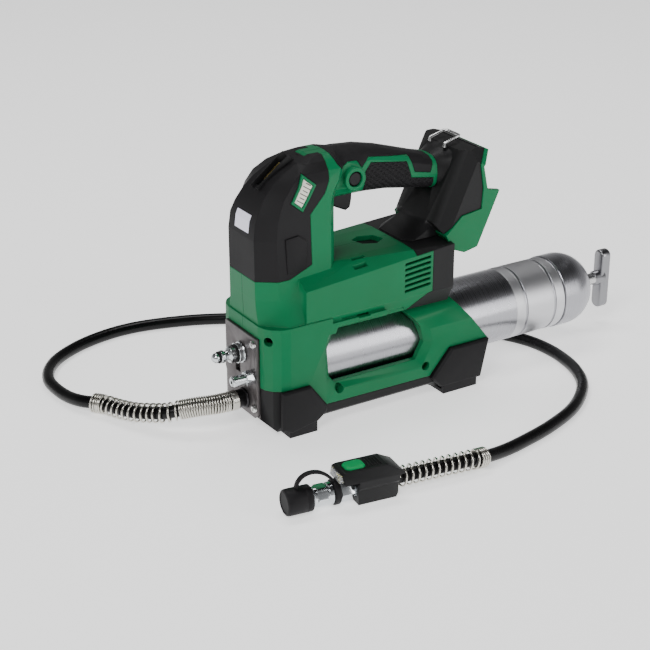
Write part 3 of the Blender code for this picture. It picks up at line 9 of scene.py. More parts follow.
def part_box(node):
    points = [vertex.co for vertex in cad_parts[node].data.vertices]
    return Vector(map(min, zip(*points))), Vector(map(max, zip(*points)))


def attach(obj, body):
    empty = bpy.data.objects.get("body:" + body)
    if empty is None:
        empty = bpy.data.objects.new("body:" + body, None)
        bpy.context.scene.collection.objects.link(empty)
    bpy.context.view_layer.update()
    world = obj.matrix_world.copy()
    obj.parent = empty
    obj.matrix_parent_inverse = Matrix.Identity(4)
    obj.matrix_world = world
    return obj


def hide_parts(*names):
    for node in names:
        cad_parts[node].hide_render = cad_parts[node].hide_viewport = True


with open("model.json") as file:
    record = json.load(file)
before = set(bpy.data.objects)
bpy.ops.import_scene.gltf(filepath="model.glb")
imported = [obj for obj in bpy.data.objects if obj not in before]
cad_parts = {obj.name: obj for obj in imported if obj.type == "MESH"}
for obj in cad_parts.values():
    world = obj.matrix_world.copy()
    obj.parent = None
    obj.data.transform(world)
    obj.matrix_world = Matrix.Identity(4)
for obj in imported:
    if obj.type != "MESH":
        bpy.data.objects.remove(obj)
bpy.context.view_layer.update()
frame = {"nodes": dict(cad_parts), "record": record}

# ---------------------------------------------------------------- camera, floor and studio light
# The tool stands on a white table under three soft boxes, and the camera looks down on its front left corner. A
# dim ceiling over a bright horizon puts the dark upper band on the barrel.
LOOK_AT = Vector((-0.089, 0.0, 0.0606))
DISTANCE = 1.1792
AZIMUTH = math.radians(-32.08)
ELEVATION = math.radians(24.07)

camera_data = bpy.data.cameras.new("camera")
camera_data.lens = 88.6
camera_data.sensor_width = 36.0
camera = bpy.data.objects.new("camera", camera_data)
bpy.context.scene.collection.objects.link(camera)
back = Vector((
    math.sin(AZIMUTH) * math.cos(ELEVATION),
    -math.cos(AZIMUTH) * math.cos(ELEVATION),
    math.sin(ELEVATION),
))
camera.location = LOOK_AT + back * DISTANCE
camera.rotation_euler = (-back).to_track_quat("-Z", "Y").to_euler()
bpy.context.scene.camera = camera


def linear(code):
    """An sRGB hex colour as the linear colour that a shader takes."""
    channels = [int(code[place:place + 2], 16) / 255 for place in (1, 3, 5)]
    return [*(c / 12.92 if c <= 0.04045 else ((c + 0.055) / 1.055) ** 2.4 for c in channels), 1.0]


def add(tree, kind, inputs, **settings):
    """Adds a node with its settings. An input is a value, or another node's output to link."""
    made = tree.nodes.new(kind)
    for name, value in settings.items():
        setattr(made, name, value)
    for socket, value in inputs.items():
        if isinstance(value, bpy.types.NodeSocket):
            tree.links.new(value, made.inputs[socket])
        else:
            made.inputs[socket].default_value = value
    return made


def soft_box(name, place, size, power, tint="#FFFFFF"):
    light = bpy.data.lights.new(name, "AREA")
    light.shape = "RECTANGLE"
    light.size, light.size_y = size
    light.energy = power
    light.color = linear(tint)[:3]
    lamp = bpy.data.objects.new(name, light)
    lamp.location = place
    lamp.rotation_euler = (LOOK_AT - Vector(place)).to_track_quat("-Z", "Y").to_euler()
    bpy.context.scene.collection.objects.link(lamp)


soft_box("key_box", (-1.3, -0.9, 1.5), (0.7, 0.7), 20)
soft_box("side_box", (0.9, -1.5, 0.55), (0.5, 1.0), 9)
soft_box("top_box", (0.1, 0.5, 1.7), (1.2, 0.5), 13)

world = bpy.data.worlds.new("studio")
world.use_nodes = True
sky = world.node_tree
direction = add(sky, "ShaderNodeTexCoord", {})
height = add(sky, "ShaderNodeSeparateXYZ", {0: direction.outputs["Generated"]})
walls = add(sky, "ShaderNodeValToRGB", {0: height.outputs["Z"]})
walls.color_ramp.elements[0].position = 0.18
walls.color_ramp.elements[0].color = linear("#FFFFFF")
walls.color_ramp.elements[1].position = 0.75
walls.color_ramp.elements[1].color = linear("#3A3A3C")
sky.links.new(walls.outputs["Color"], sky.nodes["Background"].inputs["Color"])
sky.nodes["Background"].inputs["Strength"].default_value = 0.42
bpy.context.scene.world = world

floor_mesh = bmesh.new()
bmesh.ops.create_grid(floor_mesh, x_segments=1, y_segments=1, size=6.0)
floor_data = bpy.data.meshes.new("floor")
floor_mesh.to_mesh(floor_data)
floor_mesh.free()
floor = bpy.data.objects.new("floor", floor_data)
bpy.context.scene.collection.objects.link(floor)
paper = bpy.data.materials.new("white_paper")  # matte seamless paper, lit until it is nearly pure white
paper.use_nodes = True
paper_shader = paper.node_tree.nodes["Principled BSDF"]
paper_shader.inputs["Base Color"].default_value = linear("#F4F4F4")
paper_shader.inputs["Roughness"].default_value = 0.95
paper_shader.inputs["Emission Color"].default_value = linear("#FFFFFF")
paper_shader.inputs["Emission Strength"].default_value = 0.95
floor_data.materials.append(paper)

# ---------------------------------------------------------------- delivery hose and its two guard springs
# A rubber hose with a braid inside, crimped to the adapter and to the coupler. A spring of round nickel-
# plated wire keeps it from kinking at each end: closely wound where it grips the fitting, open beyond.
MM = 0.001
HOSE_DIAMETER = 9.4
SPRING_DIAMETER = 15.0
SPRING_WIRE = 1.6
HOSE_ROUTE = [
    (-173.4, -3.5, 21.5), (-183, -2.6, 21.5), (-195, 2.4, 20.6), (-206, 9.3, 18.0), (-214.6, 15.5, 15.4),
    (-221.5, 25.6, 12.8), (-228.5, 36.5, 10.6), (-234.5, 50, 9.0), (-240, 63.7, 8.2), (-245.6, 71.5, 8.0),
    (-251.5, 81, 7.0), (-255.4, 95, 5.4), (-257.4, 112, 4.9), (-256.4, 129.1, 4.9), (-249.6, 145.5, 4.9),
    (-236.4, 160.6, 4.9), (-216.5, 173.0, 4.9), (-194.5, 181, 4.9), (-169.8, 184.8, 4.9), (-144, 182.4, 4.9),
    (-112.5, 173.2, 4.9), (-86.5, 161, 4.9), (-57, 144, 4.9), (-28, 124, 4.9), (0, 102.5, 4.9), (30, 77, 4.9),
    (57, 52, 4.9), (82, 24, 4.9), (96, 1, 4.9), (102, -20, 4.9), (102.2, -44, 4.9), (96, -70.5, 4.9),
    (81.5, -95, 4.9), (53.8, -117.6, 4.9), (20, -132, 4.9), (-15, -140.8, 4.9), (-35, -144.6, 5.6),
    (-52, -147.6, 7.9), (-66, -147.9, 9.3), (-90, -144.8, 9.4), (-121.5, -140.8, 9.4),
]
TOOL_SPRING_ENDS = 9  # the route's own points where the springs end
NOZZLE_SPRING_STARTS = 37


def smooth_route(route):
    """Close points on one smooth curve through the route, and where each of its own points falls along them."""
    points = [Vector(point) for point in route]
    line, marks = [], []
    for number, (here, there) in enumerate(zip(points, points[1:])):
        before = points[number - 1] if number else here * 2 - there
        after = points[number + 2] if number + 2 < len(points) else there * 2 - here
        marks.append(len(line))
        for step in range(8):
            t = step / 8
            line.append(0.5 * (
                2 * here + (there - before) * t + (2 * before - 5 * here + 4 * there - after) * t * t
                + (3 * here - before - 3 * there + after) * t ** 3
            ))
    marks.append(len(line))
    line.append(points[-1])
    return line, marks


def wire(name, points, diameter, finish, closed=False, sides=4):
    """A round bar along a line of points in millimetres."""
    curve = bpy.data.curves.new(name, "CURVE")
    curve.dimensions = "3D"
    curve.bevel_depth = diameter / 2 * MM
    curve.bevel_resolution = sides
    curve.use_fill_caps = True
    spline = curve.splines.new("POLY")
    spline.points.add(len(points) - 1)
    for corner, point in zip(spline.points, points):
        corner.co = (*(Vector(point) * MM), 1)
    spline.use_cyclic_u = closed
    spline.use_smooth = True
    curve.materials.append(finish)
    piece = bpy.data.objects.new(name, curve)
    bpy.context.scene.collection.objects.link(piece)
    return piece


def finish_of(name, colour, roughness, metallic=0.0):
    """A Principled material of one colour, to which a section adds its own pattern."""
    made = bpy.data.materials.new(name)
    made.use_nodes = True
    shader = made.node_tree.nodes["Principled BSDF"]
    shader.inputs["Base Color"].default_value = linear(colour)
    shader.inputs["Roughness"].default_value = roughness
    shader.inputs["Metallic"].default_value = metallic
    if not metallic:
        shader.inputs["Specular IOR Level"].default_value = 0.22
    return made, made.node_tree, shader


# Extruded synthetic rubber: nearly black, smooth enough to carry one long thin highlight.
hose_rubber, tree, shader = finish_of("extruded_rubber", "#0B0B0C", 0.26)
where = add(tree, "ShaderNodeTexCoord", {})
smears = add(tree, "ShaderNodeTexNoise", {"Vector": where.outputs["Object"], "Scale": 60.0, "Detail": 4.0})
spread = add(tree, "ShaderNodeMapRange", {"Value": smears.outputs[0], "To Min": 0.2, "To Max": 0.36})
tree.links.new(spread.outputs[0], shader.inputs["Roughness"])

# Nickel-plated spring wire: bright, slightly warm, with faint drawing marks.
spring_wire, tree, shader = finish_of("nickel_plated_wire", "#C9C6BE", 0.2, 1.0)
where = add(tree, "ShaderNodeTexCoord", {})
marks_noise = add(tree, "ShaderNodeTexNoise", {
    "Vector": where.outputs["Object"], "Scale": 900.0, "Detail": 3.0,
})
spread = add(tree, "ShaderNodeMapRange", {"Value": marks_noise.outputs[0], "To Min": 0.14, "To Max": 0.32})
tree.links.new(spread.outputs[0], shader.inputs["Roughness"])

hose_line, hose_marks = smooth_route(HOSE_ROUTE)


def wound(line, stretches, diameter):
    """A helix round a line. Each stretch is (share of the line's length, turns)."""
    travelled = [0.0]
    for here, there in zip(line, line[1:]):
        travelled.append(travelled[-1] + (there - here).length)
    points = []
    angle, start, place = 0.0, 0.0, 0
    for share, turns in stretches:
        steps = round(turns * 16)
        for step in range(steps):
            distance = (start + share * step / steps) * travelled[-1]
            while place + 2 < len(line) and travelled[place + 1] < distance:
                place += 1
            along = (line[place + 1] - line[place]).normalized()
            centre = line[place] + along * (distance - travelled[place])
            side = along.cross(Vector((0, 0, 1))).normalized()
            out = side * math.cos(angle) + side.cross(along) * math.sin(angle)
            points.append(centre + out * diameter / 2)
            angle += 2 * math.pi / 16
        start += share
    return points


hose = wire("delivery_hose", hose_line, HOSE_DIAMETER, hose_rubber, sides=8)
tool_line = hose_line[:hose_marks[TOOL_SPRING_ENDS] + 1]
nozzle_line = hose_line[hose_marks[NOZZLE_SPRING_STARTS]:]
coil_diameter = SPRING_DIAMETER - SPRING_WIRE
tool_spring = wire("guard_spring_tool", wound(tool_line, [(0.32, 21), (0.6, 13), (0.08, 5)], coil_diameter),
                   SPRING_WIRE, spring_wire)
nozzle_spring = wire("guard_spring_nozzle", wound(nozzle_line, [(0.1, 4), (0.9, 12.5)], coil_diameter),
                     SPRING_WIRE, spring_wire)
for piece, node, slot in (
    (hose, "hose_tube", "hose_rubber"),
    (tool_spring, "hose_spring_tool", "steel"),
    (nozzle_spring, "hose_spring_nozzle", "steel"),
):
    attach(piece, "tool")
    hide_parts(node)

# ---------------------------------------------------------------- coupler, its cap and strap
# The hydraulic coupler that snaps on a grease nipple: a zinc-plated sleeve with spanner flats. A moulded
# rubber cap keeps it clean, held by a strap whose ring sits in the groove before the lock nut.
NOZZLE_FRONT = Vector((-202.5, -130.4, 9.4))
NOZZLE_TURN = math.radians(-7.3)
COUPLER_RADIUS = 7.75
CAP_RADIUS = 9.25
CAP_DEPTH = 18.5
to_nozzle = Matrix.Translation(NOZZLE_FRONT) @ Matrix.Rotation(NOZZLE_TURN, 4, "Z")

# Moulded synthetic rubber with a fine matt skin, which goes slightly grey where light rakes it.
soft_rubber, tree, shader = finish_of("moulded_rubber", "#161517", 0.6)
where = add(tree, "ShaderNodeTexCoord", {})
grain = add(tree, "ShaderNodeTexNoise", {"Vector": where.outputs["Object"], "Scale": 1600.0, "Detail": 2.0})
shade = add(tree, "ShaderNodeTexNoise", {"Vector": where.outputs["Object"], "Scale": 25.0, "Detail": 4.0})
spread = add(tree, "ShaderNodeMapRange", {"Value": shade.outputs[0], "To Min": 0.5, "To Max": 0.68})
edge = add(tree, "ShaderNodeBevel", {"Radius": 0.0006}, samples=4)
bump = add(tree, "ShaderNodeBump", {
    "Height": grain.outputs[0], "Strength": 0.25, "Distance": 0.0002, "Normal": edge.outputs[0],
})
tree.links.new(spread.outputs[0], shader.inputs["Roughness"])
tree.links.new(bump.outputs[0], shader.inputs["Normal"])

# Clear zinc plate on turned steel: cool and bright, with faint tool marks round the axis.
zinc_plate, tree, shader = finish_of("clear_zinc_plate", "#D3D7DA", 0.16, 1.0)
where = add(tree, "ShaderNodeTexCoord", {})
stretch = add(tree, "ShaderNodeMapping", {"Vector": where.outputs["Object"], "Scale": (3000.0, 90.0, 90.0)})
tool_marks = add(tree, "ShaderNodeTexNoise", {"Vector": stretch.outputs[0], "Scale": 1.0, "Detail": 2.0})
spread = add(tree, "ShaderNodeMapRange", {"Value": tool_marks.outputs[0], "To Min": 0.1, "To Max": 0.26})
edge = add(tree, "ShaderNodeBevel", {"Radius": 0.0003}, samples=4)
bump = add(tree, "ShaderNodeBump", {
    "Height": tool_marks.outputs[0], "Strength": 0.03, "Distance": 0.0001, "Normal": edge.outputs[0],
})
tree.links.new(spread.outputs[0], shader.inputs["Roughness"])
tree.links.new(bump.outputs[0], shader.inputs["Normal"])


def lathe(profile, steps=72):
    """A closed outline of (distance along X, radius) corners, turned about the X axis."""
    shape = bmesh.new()
    corners = [shape.verts.new((distance, 0, radius)) for distance, radius in profile]
    edges = [shape.edges.new(pair) for pair in zip(corners, corners[1:])]
    if profile[0][1] > 0:
        edges.append(shape.edges.new((corners[-1], corners[0])))
    bmesh.ops.spin(shape, geom=corners + edges, cent=(0, 0, 0), axis=(1, 0, 0), angle=2 * math.pi,
                   steps=steps, use_merge=True)
    bmesh.ops.remove_doubles(shape, verts=shape.verts, dist=0.0005)
    return shape


def settled(name, shape, finish, body="tool", instead_of=(), matrix=Matrix(), sharp=32):
    """A shape in millimetres as a finished piece at the origin, riding on its body."""
    bmesh.ops.transform(shape, matrix=Matrix.Scale(MM, 4) @ matrix, verts=shape.verts)
    bmesh.ops.recalc_face_normals(shape, faces=shape.faces)
    mesh = bpy.data.meshes.new(name)
    shape.to_mesh(mesh)
    shape.free()
    mesh.shade_smooth()
    mesh.set_sharp_from_angle(angle=math.radians(sharp))
    mesh.materials.append(finish)
    piece = bpy.data.objects.new(name, mesh)
    bpy.context.scene.collection.objects.link(piece)
    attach(piece, body)
    if instead_of:
        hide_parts(*instead_of)
    return piece


def edge_bevel(shape, width, segments=2, over=25):
    """Rounds every edge of a shape that turns by more than an angle."""
    sharp = [edge for edge in shape.edges if edge.is_manifold and edge.calc_face_angle(0) > math.radians(over)]
    bmesh.ops.bevel(shape, geom=sharp, offset=width, affect="EDGES", segments=segments, profile=0.5,
                    material=-1, clamp_overlap=True)
    return shape


def bar(low, high, width=0.3):
    """A straight-sided block between two corners, with its edges rounded."""
    shape = bmesh.new()
    bmesh.ops.create_cube(shape, size=1.0)
    low, high = Vector(low), Vector(high)
    bmesh.ops.scale(shape, vec=high - low, verts=shape.verts)
    bmesh.ops.translate(shape, vec=(low + high) / 2, verts=shape.verts)
    return edge_bevel(shape, width)


cap = lathe([
    (0.5, 0), (0.5, 6.8), (0, 7.2), (0.1, 7.9), (0.6, 8.7), (1.6, 9.15), (4.5, CAP_RADIUS), (13.6, CAP_RADIUS),
    (14.0, 9.0), (14.4, CAP_RADIUS), (17.8, CAP_RADIUS), (18.4, 9.0), (CAP_DEPTH, 8.6), (CAP_DEPTH, 8.0),
    (2.6, 8.0), (2.6, 0),
])
nozzle_cap = settled("coupler_cap", cap, soft_rubber, instead_of=["nozzle_cap"],
                     matrix=to_nozzle)
lug = settled("coupler_cap_lug", bar((15.0, -1.7, -9.2), (20.6, 1.7, -8.2), 0.6), soft_rubber,
              matrix=to_nozzle)



def mill_flats(shape, start, end, flats, over=0.0):
    """Six spanner flats between two distances along X, on what is outside a radius."""
    for point in shape.verts:
        radius = math.hypot(point.co.y, point.co.z)
        if start < point.co.x < end and radius > over:
            turn = math.atan2(point.co.z, point.co.y) % (math.pi / 3) - math.pi / 6
            shrink = min(1.0, flats / 2 / math.cos(turn) / radius)
            point.co.y *= shrink
            point.co.z *= shrink


sleeve = lathe([
    (3.0, 2.0), (3.0, 5.5), (6.0, 7.6), (19.2, 7.6), (20.0, 6.9), (21.6, 6.9), (22.2, COUPLER_RADIUS),
    (29.0, COUPLER_RADIUS), (29.4, 7.2), (30.2, 7.2), (30.6, COUPLER_RADIUS), (33.3, COUPLER_RADIUS),
    (33.8, 7.3), (33.8, 5.6), (38.7, 5.6), (38.7, 4.6), (46.0, 4.6), (46.0, 2.0),
])
mill_flats(sleeve, 22, 29.1, 13.9)
coupler = settled("coupler_sleeve", sleeve, zinc_plate, instead_of=["grease_coupler"],
                  matrix=to_nozzle, sharp=24)

ring = lathe([
    (34.1, 6.4), (34.5, 5.9), (38.0, 5.9), (38.4, 6.4), (38.4, 8.2), (37.8, 8.8), (34.7, 8.8), (34.1, 8.2),
])
strap_ring = settled("strap_ring", ring, soft_rubber, instead_of=["cap_strap"],
                     matrix=to_nozzle)
STRAP_LINE = [(36.0, 8.2), (34.6, 10.0), (32.0, 12.8), (29.2, 15.2), (25.8, 17.2), (22.4, 18.3), (19.0, 18.6),
              (15.8, 18.2), (12.9, 16.9), (10.6, 14.8), (9.1, 12.2), (8.5, 9.4)]
strap_curve = bpy.data.curves.new("strap_line", "CURVE")
strap_curve.dimensions = "2D"
strap_curve.fill_mode = "NONE"
strap_curve.extrude = 1.1
strap_curve.bevel_depth = 1.0
strap_curve.bevel_resolution = 3
strap_spline = strap_curve.splines.new("NURBS")
strap_spline.points.add(len(STRAP_LINE) - 1)
for corner, (along, height_mm) in zip(strap_spline.points, STRAP_LINE):
    corner.co = (along, height_mm, 0, 1)
strap_spline.use_endpoint_u = True
strap_form = bpy.data.objects.new("strap_line", strap_curve)
strap_mesh = bpy.data.meshes.new_from_object(strap_form)
bpy.data.objects.remove(strap_form)
strap_shape = bmesh.new()
strap_shape.from_mesh(strap_mesh)
stand_up = Matrix.Rotation(math.radians(90), 4, "X")
bmesh.ops.holes_fill(strap_shape, edges=strap_shape.edges)
strap = settled("cap_strap_band", strap_shape, soft_rubber, matrix=to_nozzle @ stand_up,
                sharp=60)

# ---------------------------------------------------------------- lock nut and threaded neck
# A zinc-plated hexagon nut locks the coupler on the hose's end; two turns of thread show behind it.
NUT_FLATS = 14.0
nut_shape = bmesh.new()
bmesh.ops.create_cone(nut_shape, cap_ends=True, segments=6, radius1=NUT_FLATS / math.sqrt(3),
                      radius2=NUT_FLATS / math.sqrt(3), depth=9.2)
bmesh.ops.rotate(nut_shape, cent=(0, 0, 0), matrix=Matrix.Rotation(math.radians(90), 3, "Y"),
                 verts=nut_shape.verts)
edge_bevel(nut_shape, 0.5, 2)
bmesh.ops.translate(nut_shape, vec=(43.6, 0, 0), verts=nut_shape.verts)
lock_nut = settled("lock_nut", nut_shape, zinc_plate, instead_of=["coupler_nut"],
                   matrix=to_nozzle, sharp=24)
neck_profile = [(48.2, 2.0)]
for turn in range(4):
    start = 48.2 + turn * 1.1
    neck_profile += [(start, 4.9), (start + 0.35, 5.9), (start + 0.75, 5.9), (start + 1.1, 4.9)]
neck_profile += [(52.6, 2.0)]
neck = settled("threaded_neck", lathe(neck_profile), zinc_plate, matrix=to_nozzle,
               sharp=24)

# ---------------------------------------------------------------- lamp at the coupler
# A glass-filled nylon shell clamped on the hose's end. It holds a white lamp behind a clear window that
# lights the nipple, a rubber-sealed green push button, and ribs for the thumb behind the button. Glass-
# filled nylon: black with a faint grey bloom and a fine spark-eroded grain.
black_nylon, tree, shader = finish_of("black_glass_filled_nylon", "#171718", 0.46)
where = add(tree, "ShaderNodeTexCoord", {})
grain = add(tree, "ShaderNodeTexNoise", {"Vector": where.outputs["Object"], "Scale": 1100.0, "Detail": 3.0})
shade = add(tree, "ShaderNodeTexNoise", {"Vector": where.outputs["Object"], "Scale": 30.0, "Detail": 3.0})
spread = add(tree, "ShaderNodeMapRange", {"Value": shade.outputs[0], "To Min": 0.38, "To Max": 0.54})
edge = add(tree, "ShaderNodeBevel", {"Radius": 0.0006}, samples=4)
bump = add(tree, "ShaderNodeBump", {
    "Height": grain.outputs[0], "Strength": 0.3, "Distance": 0.0002, "Normal": edge.outputs[0],
})
tree.links.new(spread.outputs[0], shader.inputs["Roughness"])
tree.links.new(bump.outputs[0], shader.inputs["Normal"])

# Polycarbonate: clear and glossy, so what lies behind it shows.
clear_window, tree, shader = finish_of("clear_polycarbonate", "#EEF0F4", 0.05)
shader.inputs["Transmission Weight"].default_value = 0.85
shader.inputs["IOR"].default_value = 1.58

bodies = frame["record"]["behaviour"]["bodies"]


def fair_copy(node, finish, rounding=0.0, over=25, sharp=32, relief=()):
    """A CAD node's own shape, its triangles merged so that it shades smoothly and its edges can be rounded."""
    shape = bmesh.new()
    shape.from_mesh(frame["nodes"][node].data)
    bmesh.ops.scale(shape, vec=(1 / MM, 1 / MM, 1 / MM), verts=shape.verts)
    bmesh.ops.remove_doubles(shape, verts=shape.verts, dist=0.002)
    bmesh.ops.dissolve_limit(shape, angle_limit=math.radians(1.5), verts=shape.verts, edges=shape.edges)
    if relief:  # a panel raised on the largest side face, which on a foot is the inner one, as (slope, height)
        sides = [face for face in shape.faces if abs(face.normal.y) > 0.97]
        outermost = max(sides, key=lambda face: face.calc_area() * (abs(face.calc_center_median().y) > 30))
        bmesh.ops.inset_region(shape, faces=[outermost], thickness=relief[0], depth=relief[1],
                               use_even_offset=True)
    if rounding:
        edge_bevel(shape, rounding, 2, over)
    body = next(name for name, held in bodies.items() if node in held)
    return settled(node + "_shell", shape, finish, body=body, instead_of=[node], sharp=sharp)


lamp_shell = fair_copy("lamp_housing", black_nylon, rounding=0.6)
lamp_window = fair_copy("lamp_lens", clear_window, rounding=0.4)
bright_green, tree, shader = finish_of("green_silicone", "#009A55", 0.42)
lamp_push = fair_copy("lamp_button", bright_green, rounding=0.7)
for number in range(5):
    start = 59.2 + number * 2.1
    rib = settled(f"lamp_rib_{number + 1}", bar((start, -5.8, 16.2), (start + 1.0, 5.8, 17.2), 0.35),
                  black_nylon, matrix=to_nozzle)
chip_yellow, tree, shader = finish_of("phosphor_chip", "#F2E27A", 0.5)
shader.inputs["Emission Color"].default_value = linear("#F6EDB0")
shader.inputs["Emission Strength"].default_value = 0.25
chip = settled("lamp_chip", bar((41.2, -1.8, 11.0), (42.2, 1.8, 14.0), 0.2), chip_yellow,
               matrix=to_nozzle)

# ---------------------------------------------------------------- front plate and pump head
# A cast-iron pump head carries every connection. A steel plate with a blackened face is screwed over its front.
# Blackened cast face: brownish grey, slightly mottled.
plate_face, tree, shader = finish_of("blackened_plate", "#5F5B5C", 0.42, 0.75)
where = add(tree, "ShaderNodeTexCoord", {})
mottle = add(tree, "ShaderNodeTexNoise", {"Vector": where.outputs["Object"], "Scale": 180.0, "Detail": 5.0})
tone = add(tree, "ShaderNodeValToRGB", {0: mottle.outputs[0]})
tone.color_ramp.elements[0].color = linear("#4B4748")
tone.color_ramp.elements[1].color = linear("#736E6F")
edge = add(tree, "ShaderNodeBevel", {"Radius": 0.0005}, samples=4)
bump = add(tree, "ShaderNodeBump", {
    "Height": mottle.outputs[0], "Strength": 0.2, "Distance": 0.0002, "Normal": edge.outputs[0],
})
tree.links.new(tone.outputs[0], shader.inputs["Base Color"])
tree.links.new(bump.outputs[0], shader.inputs["Normal"])
fair_copy("front_plate", plate_face, rounding=0.4)
fair_copy("pump_head", plate_face)

PLATE_FACE = -160.3
screw_steel, tree, shader = finish_of("bright_screw_steel", "#D8D8D6", 0.18, 1.0)
dark_steel, tree, shader = finish_of("oiled_dark_steel", "#39383A", 0.3, 1.0)
for node in ("plate_screw_top", "plate_screw_bottom"):
    low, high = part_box(node)
    middle_y, middle_z = (low[1] + high[1]) / 2 / MM, (low[2] + high[2]) / 2 / MM
    head = lathe([(-1.2, 0), (-1.2, 1.1), (-1.9, 1.3), (-2.1, 2.0), (-1.4, 2.8), (-0.4, 3.0), (0.0, 3.0),
                  (0.0, 1.6), (7.5, 1.6), (7.5, 0)], 32)
    settled(node + "_turned", head, screw_steel, instead_of=[node],
            matrix=Matrix.Translation((PLATE_FACE, middle_y, middle_z)))

# ---------------------------------------------------------------- filling nipple
# The quick connector for a filler pump: a polished collar, a rubber ring, and a turned body with a ball-
# shaped tip.
at_nipple = Matrix.Translation((PLATE_FACE, 0, 56.5)) @ Matrix.Rotation(math.pi, 4, "Z")
collar_ring = lathe([(0, 3.6), (0, 7.6), (0.5, 8.0), (1.1, 7.6), (1.3, 7.0), (3.2, 6.9), (3.4, 7.3), (4.0, 7.5),
                     (4.4, 7.1), (4.4, 3.6)])
settled("nipple_collar", collar_ring, zinc_plate, matrix=at_nipple, sharp=28)
seal_ring = lathe([(4.5, 3.8), (4.5, 6.4), (4.9, 6.8), (5.4, 6.8), (5.8, 6.4), (5.8, 3.8)])
settled("nipple_seal", seal_ring, soft_rubber, matrix=at_nipple)
nipple_body = lathe([
    (-10.0, 0), (-10.0, 3.4), (0, 3.4), (5.9, 3.4), (5.9, 6.2), (9.3, 6.2), (9.8, 5.8), (11.4, 3.7),
    (13.2, 3.4), (13.8, 4.0), (14.6, 4.7), (16.6, 4.7), (17.2, 4.2), (17.4, 3.0), (18.9, 3.0),
    (19.1, 3.6), (20.4, 3.8),
    (21.6, 3.4), (22.6, 2.6), (23.3, 1.4), (23.5, 0),
])
mill_flats(nipple_body, 5.8, 9.4, 11.0, 5)
settled("nipple_body", nipple_body, zinc_plate, instead_of=["grease_nipple"],
        matrix=at_nipple, sharp=26)
tip_seal = lathe([(17.3, 3.0), (17.3, 4.0), (17.8, 4.4), (18.4, 4.4), (18.9, 4.0), (18.9, 3.0)])
settled("nipple_tip_seal", tip_seal, soft_rubber, matrix=at_nipple)

# ---------------------------------------------------------------- relief valve
# A zinc-plated hexagon screw with a drilled spout: it lets grease out when the pressure is too high.
at_relief = Matrix.Translation((PLATE_FACE, -16.0, 43.0)) @ Matrix.Rotation(math.pi, 4, "Z")
RELIEF_FLATS = 9.4
relief_shape = lathe([
    (-10.0, 0), (-10.0, 3.2), (0, 3.2), (0, 5.0), (0.5, 5.4), (5.6, 5.4), (6.0, 5.0), (6.2, 3.9), (15.9, 3.9),
    (16.8, 3.1), (16.9, 1.3), (11.0, 1.2), (11.0, 0),
])
mill_flats(relief_shape, -0.1, 6.1, RELIEF_FLATS, 4.2)
settled("relief_screw", relief_shape, zinc_plate, body="relief",
        instead_of=["relief_valve"], matrix=at_relief, sharp=24)

# ---------------------------------------------------------------- hose adapter
# Screwed into the head: a dark oiled collar, then the dull silver ring that the guard spring is pushed on.
at_adapter = Matrix.Translation((PLATE_FACE, -3.5, 21.5)) @ Matrix.Rotation(math.pi, 4, "Z")
adapter_collar = lathe([
    (-10, 0), (-10, 4.4), (0, 4.4), (0, 7.6), (0.5, 7.8), (1.0, 7.5), (1.4, 6.8),
    (6.6, 6.8), (7.0, 6.4), (7.0, 0),
])
settled("adapter_collar", adapter_collar, dark_steel, instead_of=["hose_adapter"], matrix=at_adapter)
adapter_ring = lathe([(7.0, 4.0), (7.0, 7.1), (7.4, 7.5), (12.2, 7.5), (12.7, 7.1), (12.7, 4.0)])
settled("adapter_ring", adapter_ring, spring_wire, matrix=at_adapter)

# ---------------------------------------------------------------- barrel
# Drawn aluminium tube, satin-turned, that screws into the pump head. Its rear end is knurled in three bands
# with two plain grooves between them, for a firm hold when it is unscrewed.
BARREL_AXIS = 41.0
BARREL_RADIUS = 28.5
KNURL_START = 69.5
GROOVES = (79.5, 107.7)
GROOVE_HALF_WIDTH = 1.1
BARREL_REAR = 117.6
KNURL_PITCH = 1.3
KNURL_DEPTH = 0.3

# Satin-turned aluminium: the tool's spiral leaves hair-fine rings, so highlights stretch across the tube.
turned_aluminium, tree, shader = finish_of("turned_aluminium", "#A8A8AD", 0.25, 1.0)
shader.inputs["Anisotropic"].default_value = 0.5
where = add(tree, "ShaderNodeTexCoord", {})
stretch = add(tree, "ShaderNodeMapping", {"Vector": where.outputs["Object"], "Scale": (1800.0, 14.0, 14.0)})
rings = add(tree, "ShaderNodeTexNoise", {"Vector": stretch.outputs[0], "Scale": 1.0, "Detail": 3.0})
spread = add(tree, "ShaderNodeMapRange", {"Value": rings.outputs[0], "To Min": 0.25, "To Max": 0.31})
edge = add(tree, "ShaderNodeBevel", {"Radius": 0.0003}, samples=4)
tree.links.new(spread.outputs[0], shader.inputs["Roughness"])
tree.links.new(edge.outputs[0], shader.inputs["Normal"])

on_barrel = Matrix.Translation((0, 0, BARREL_AXIS))
INNER = BARREL_RADIUS - 1.5
tube_profile = [(-127.0, INNER), (-127.0, BARREL_RADIUS), (KNURL_START, BARREL_RADIUS), (KNURL_START, 27.9),
                (BARREL_REAR - 0.4, 27.9), (BARREL_REAR, 27.6), (BARREL_REAR, INNER)]
settled("barrel_turned", lathe(tube_profile, 128), turned_aluminium, body="barrel",
        instead_of=["barrel_tube"], matrix=on_barrel)

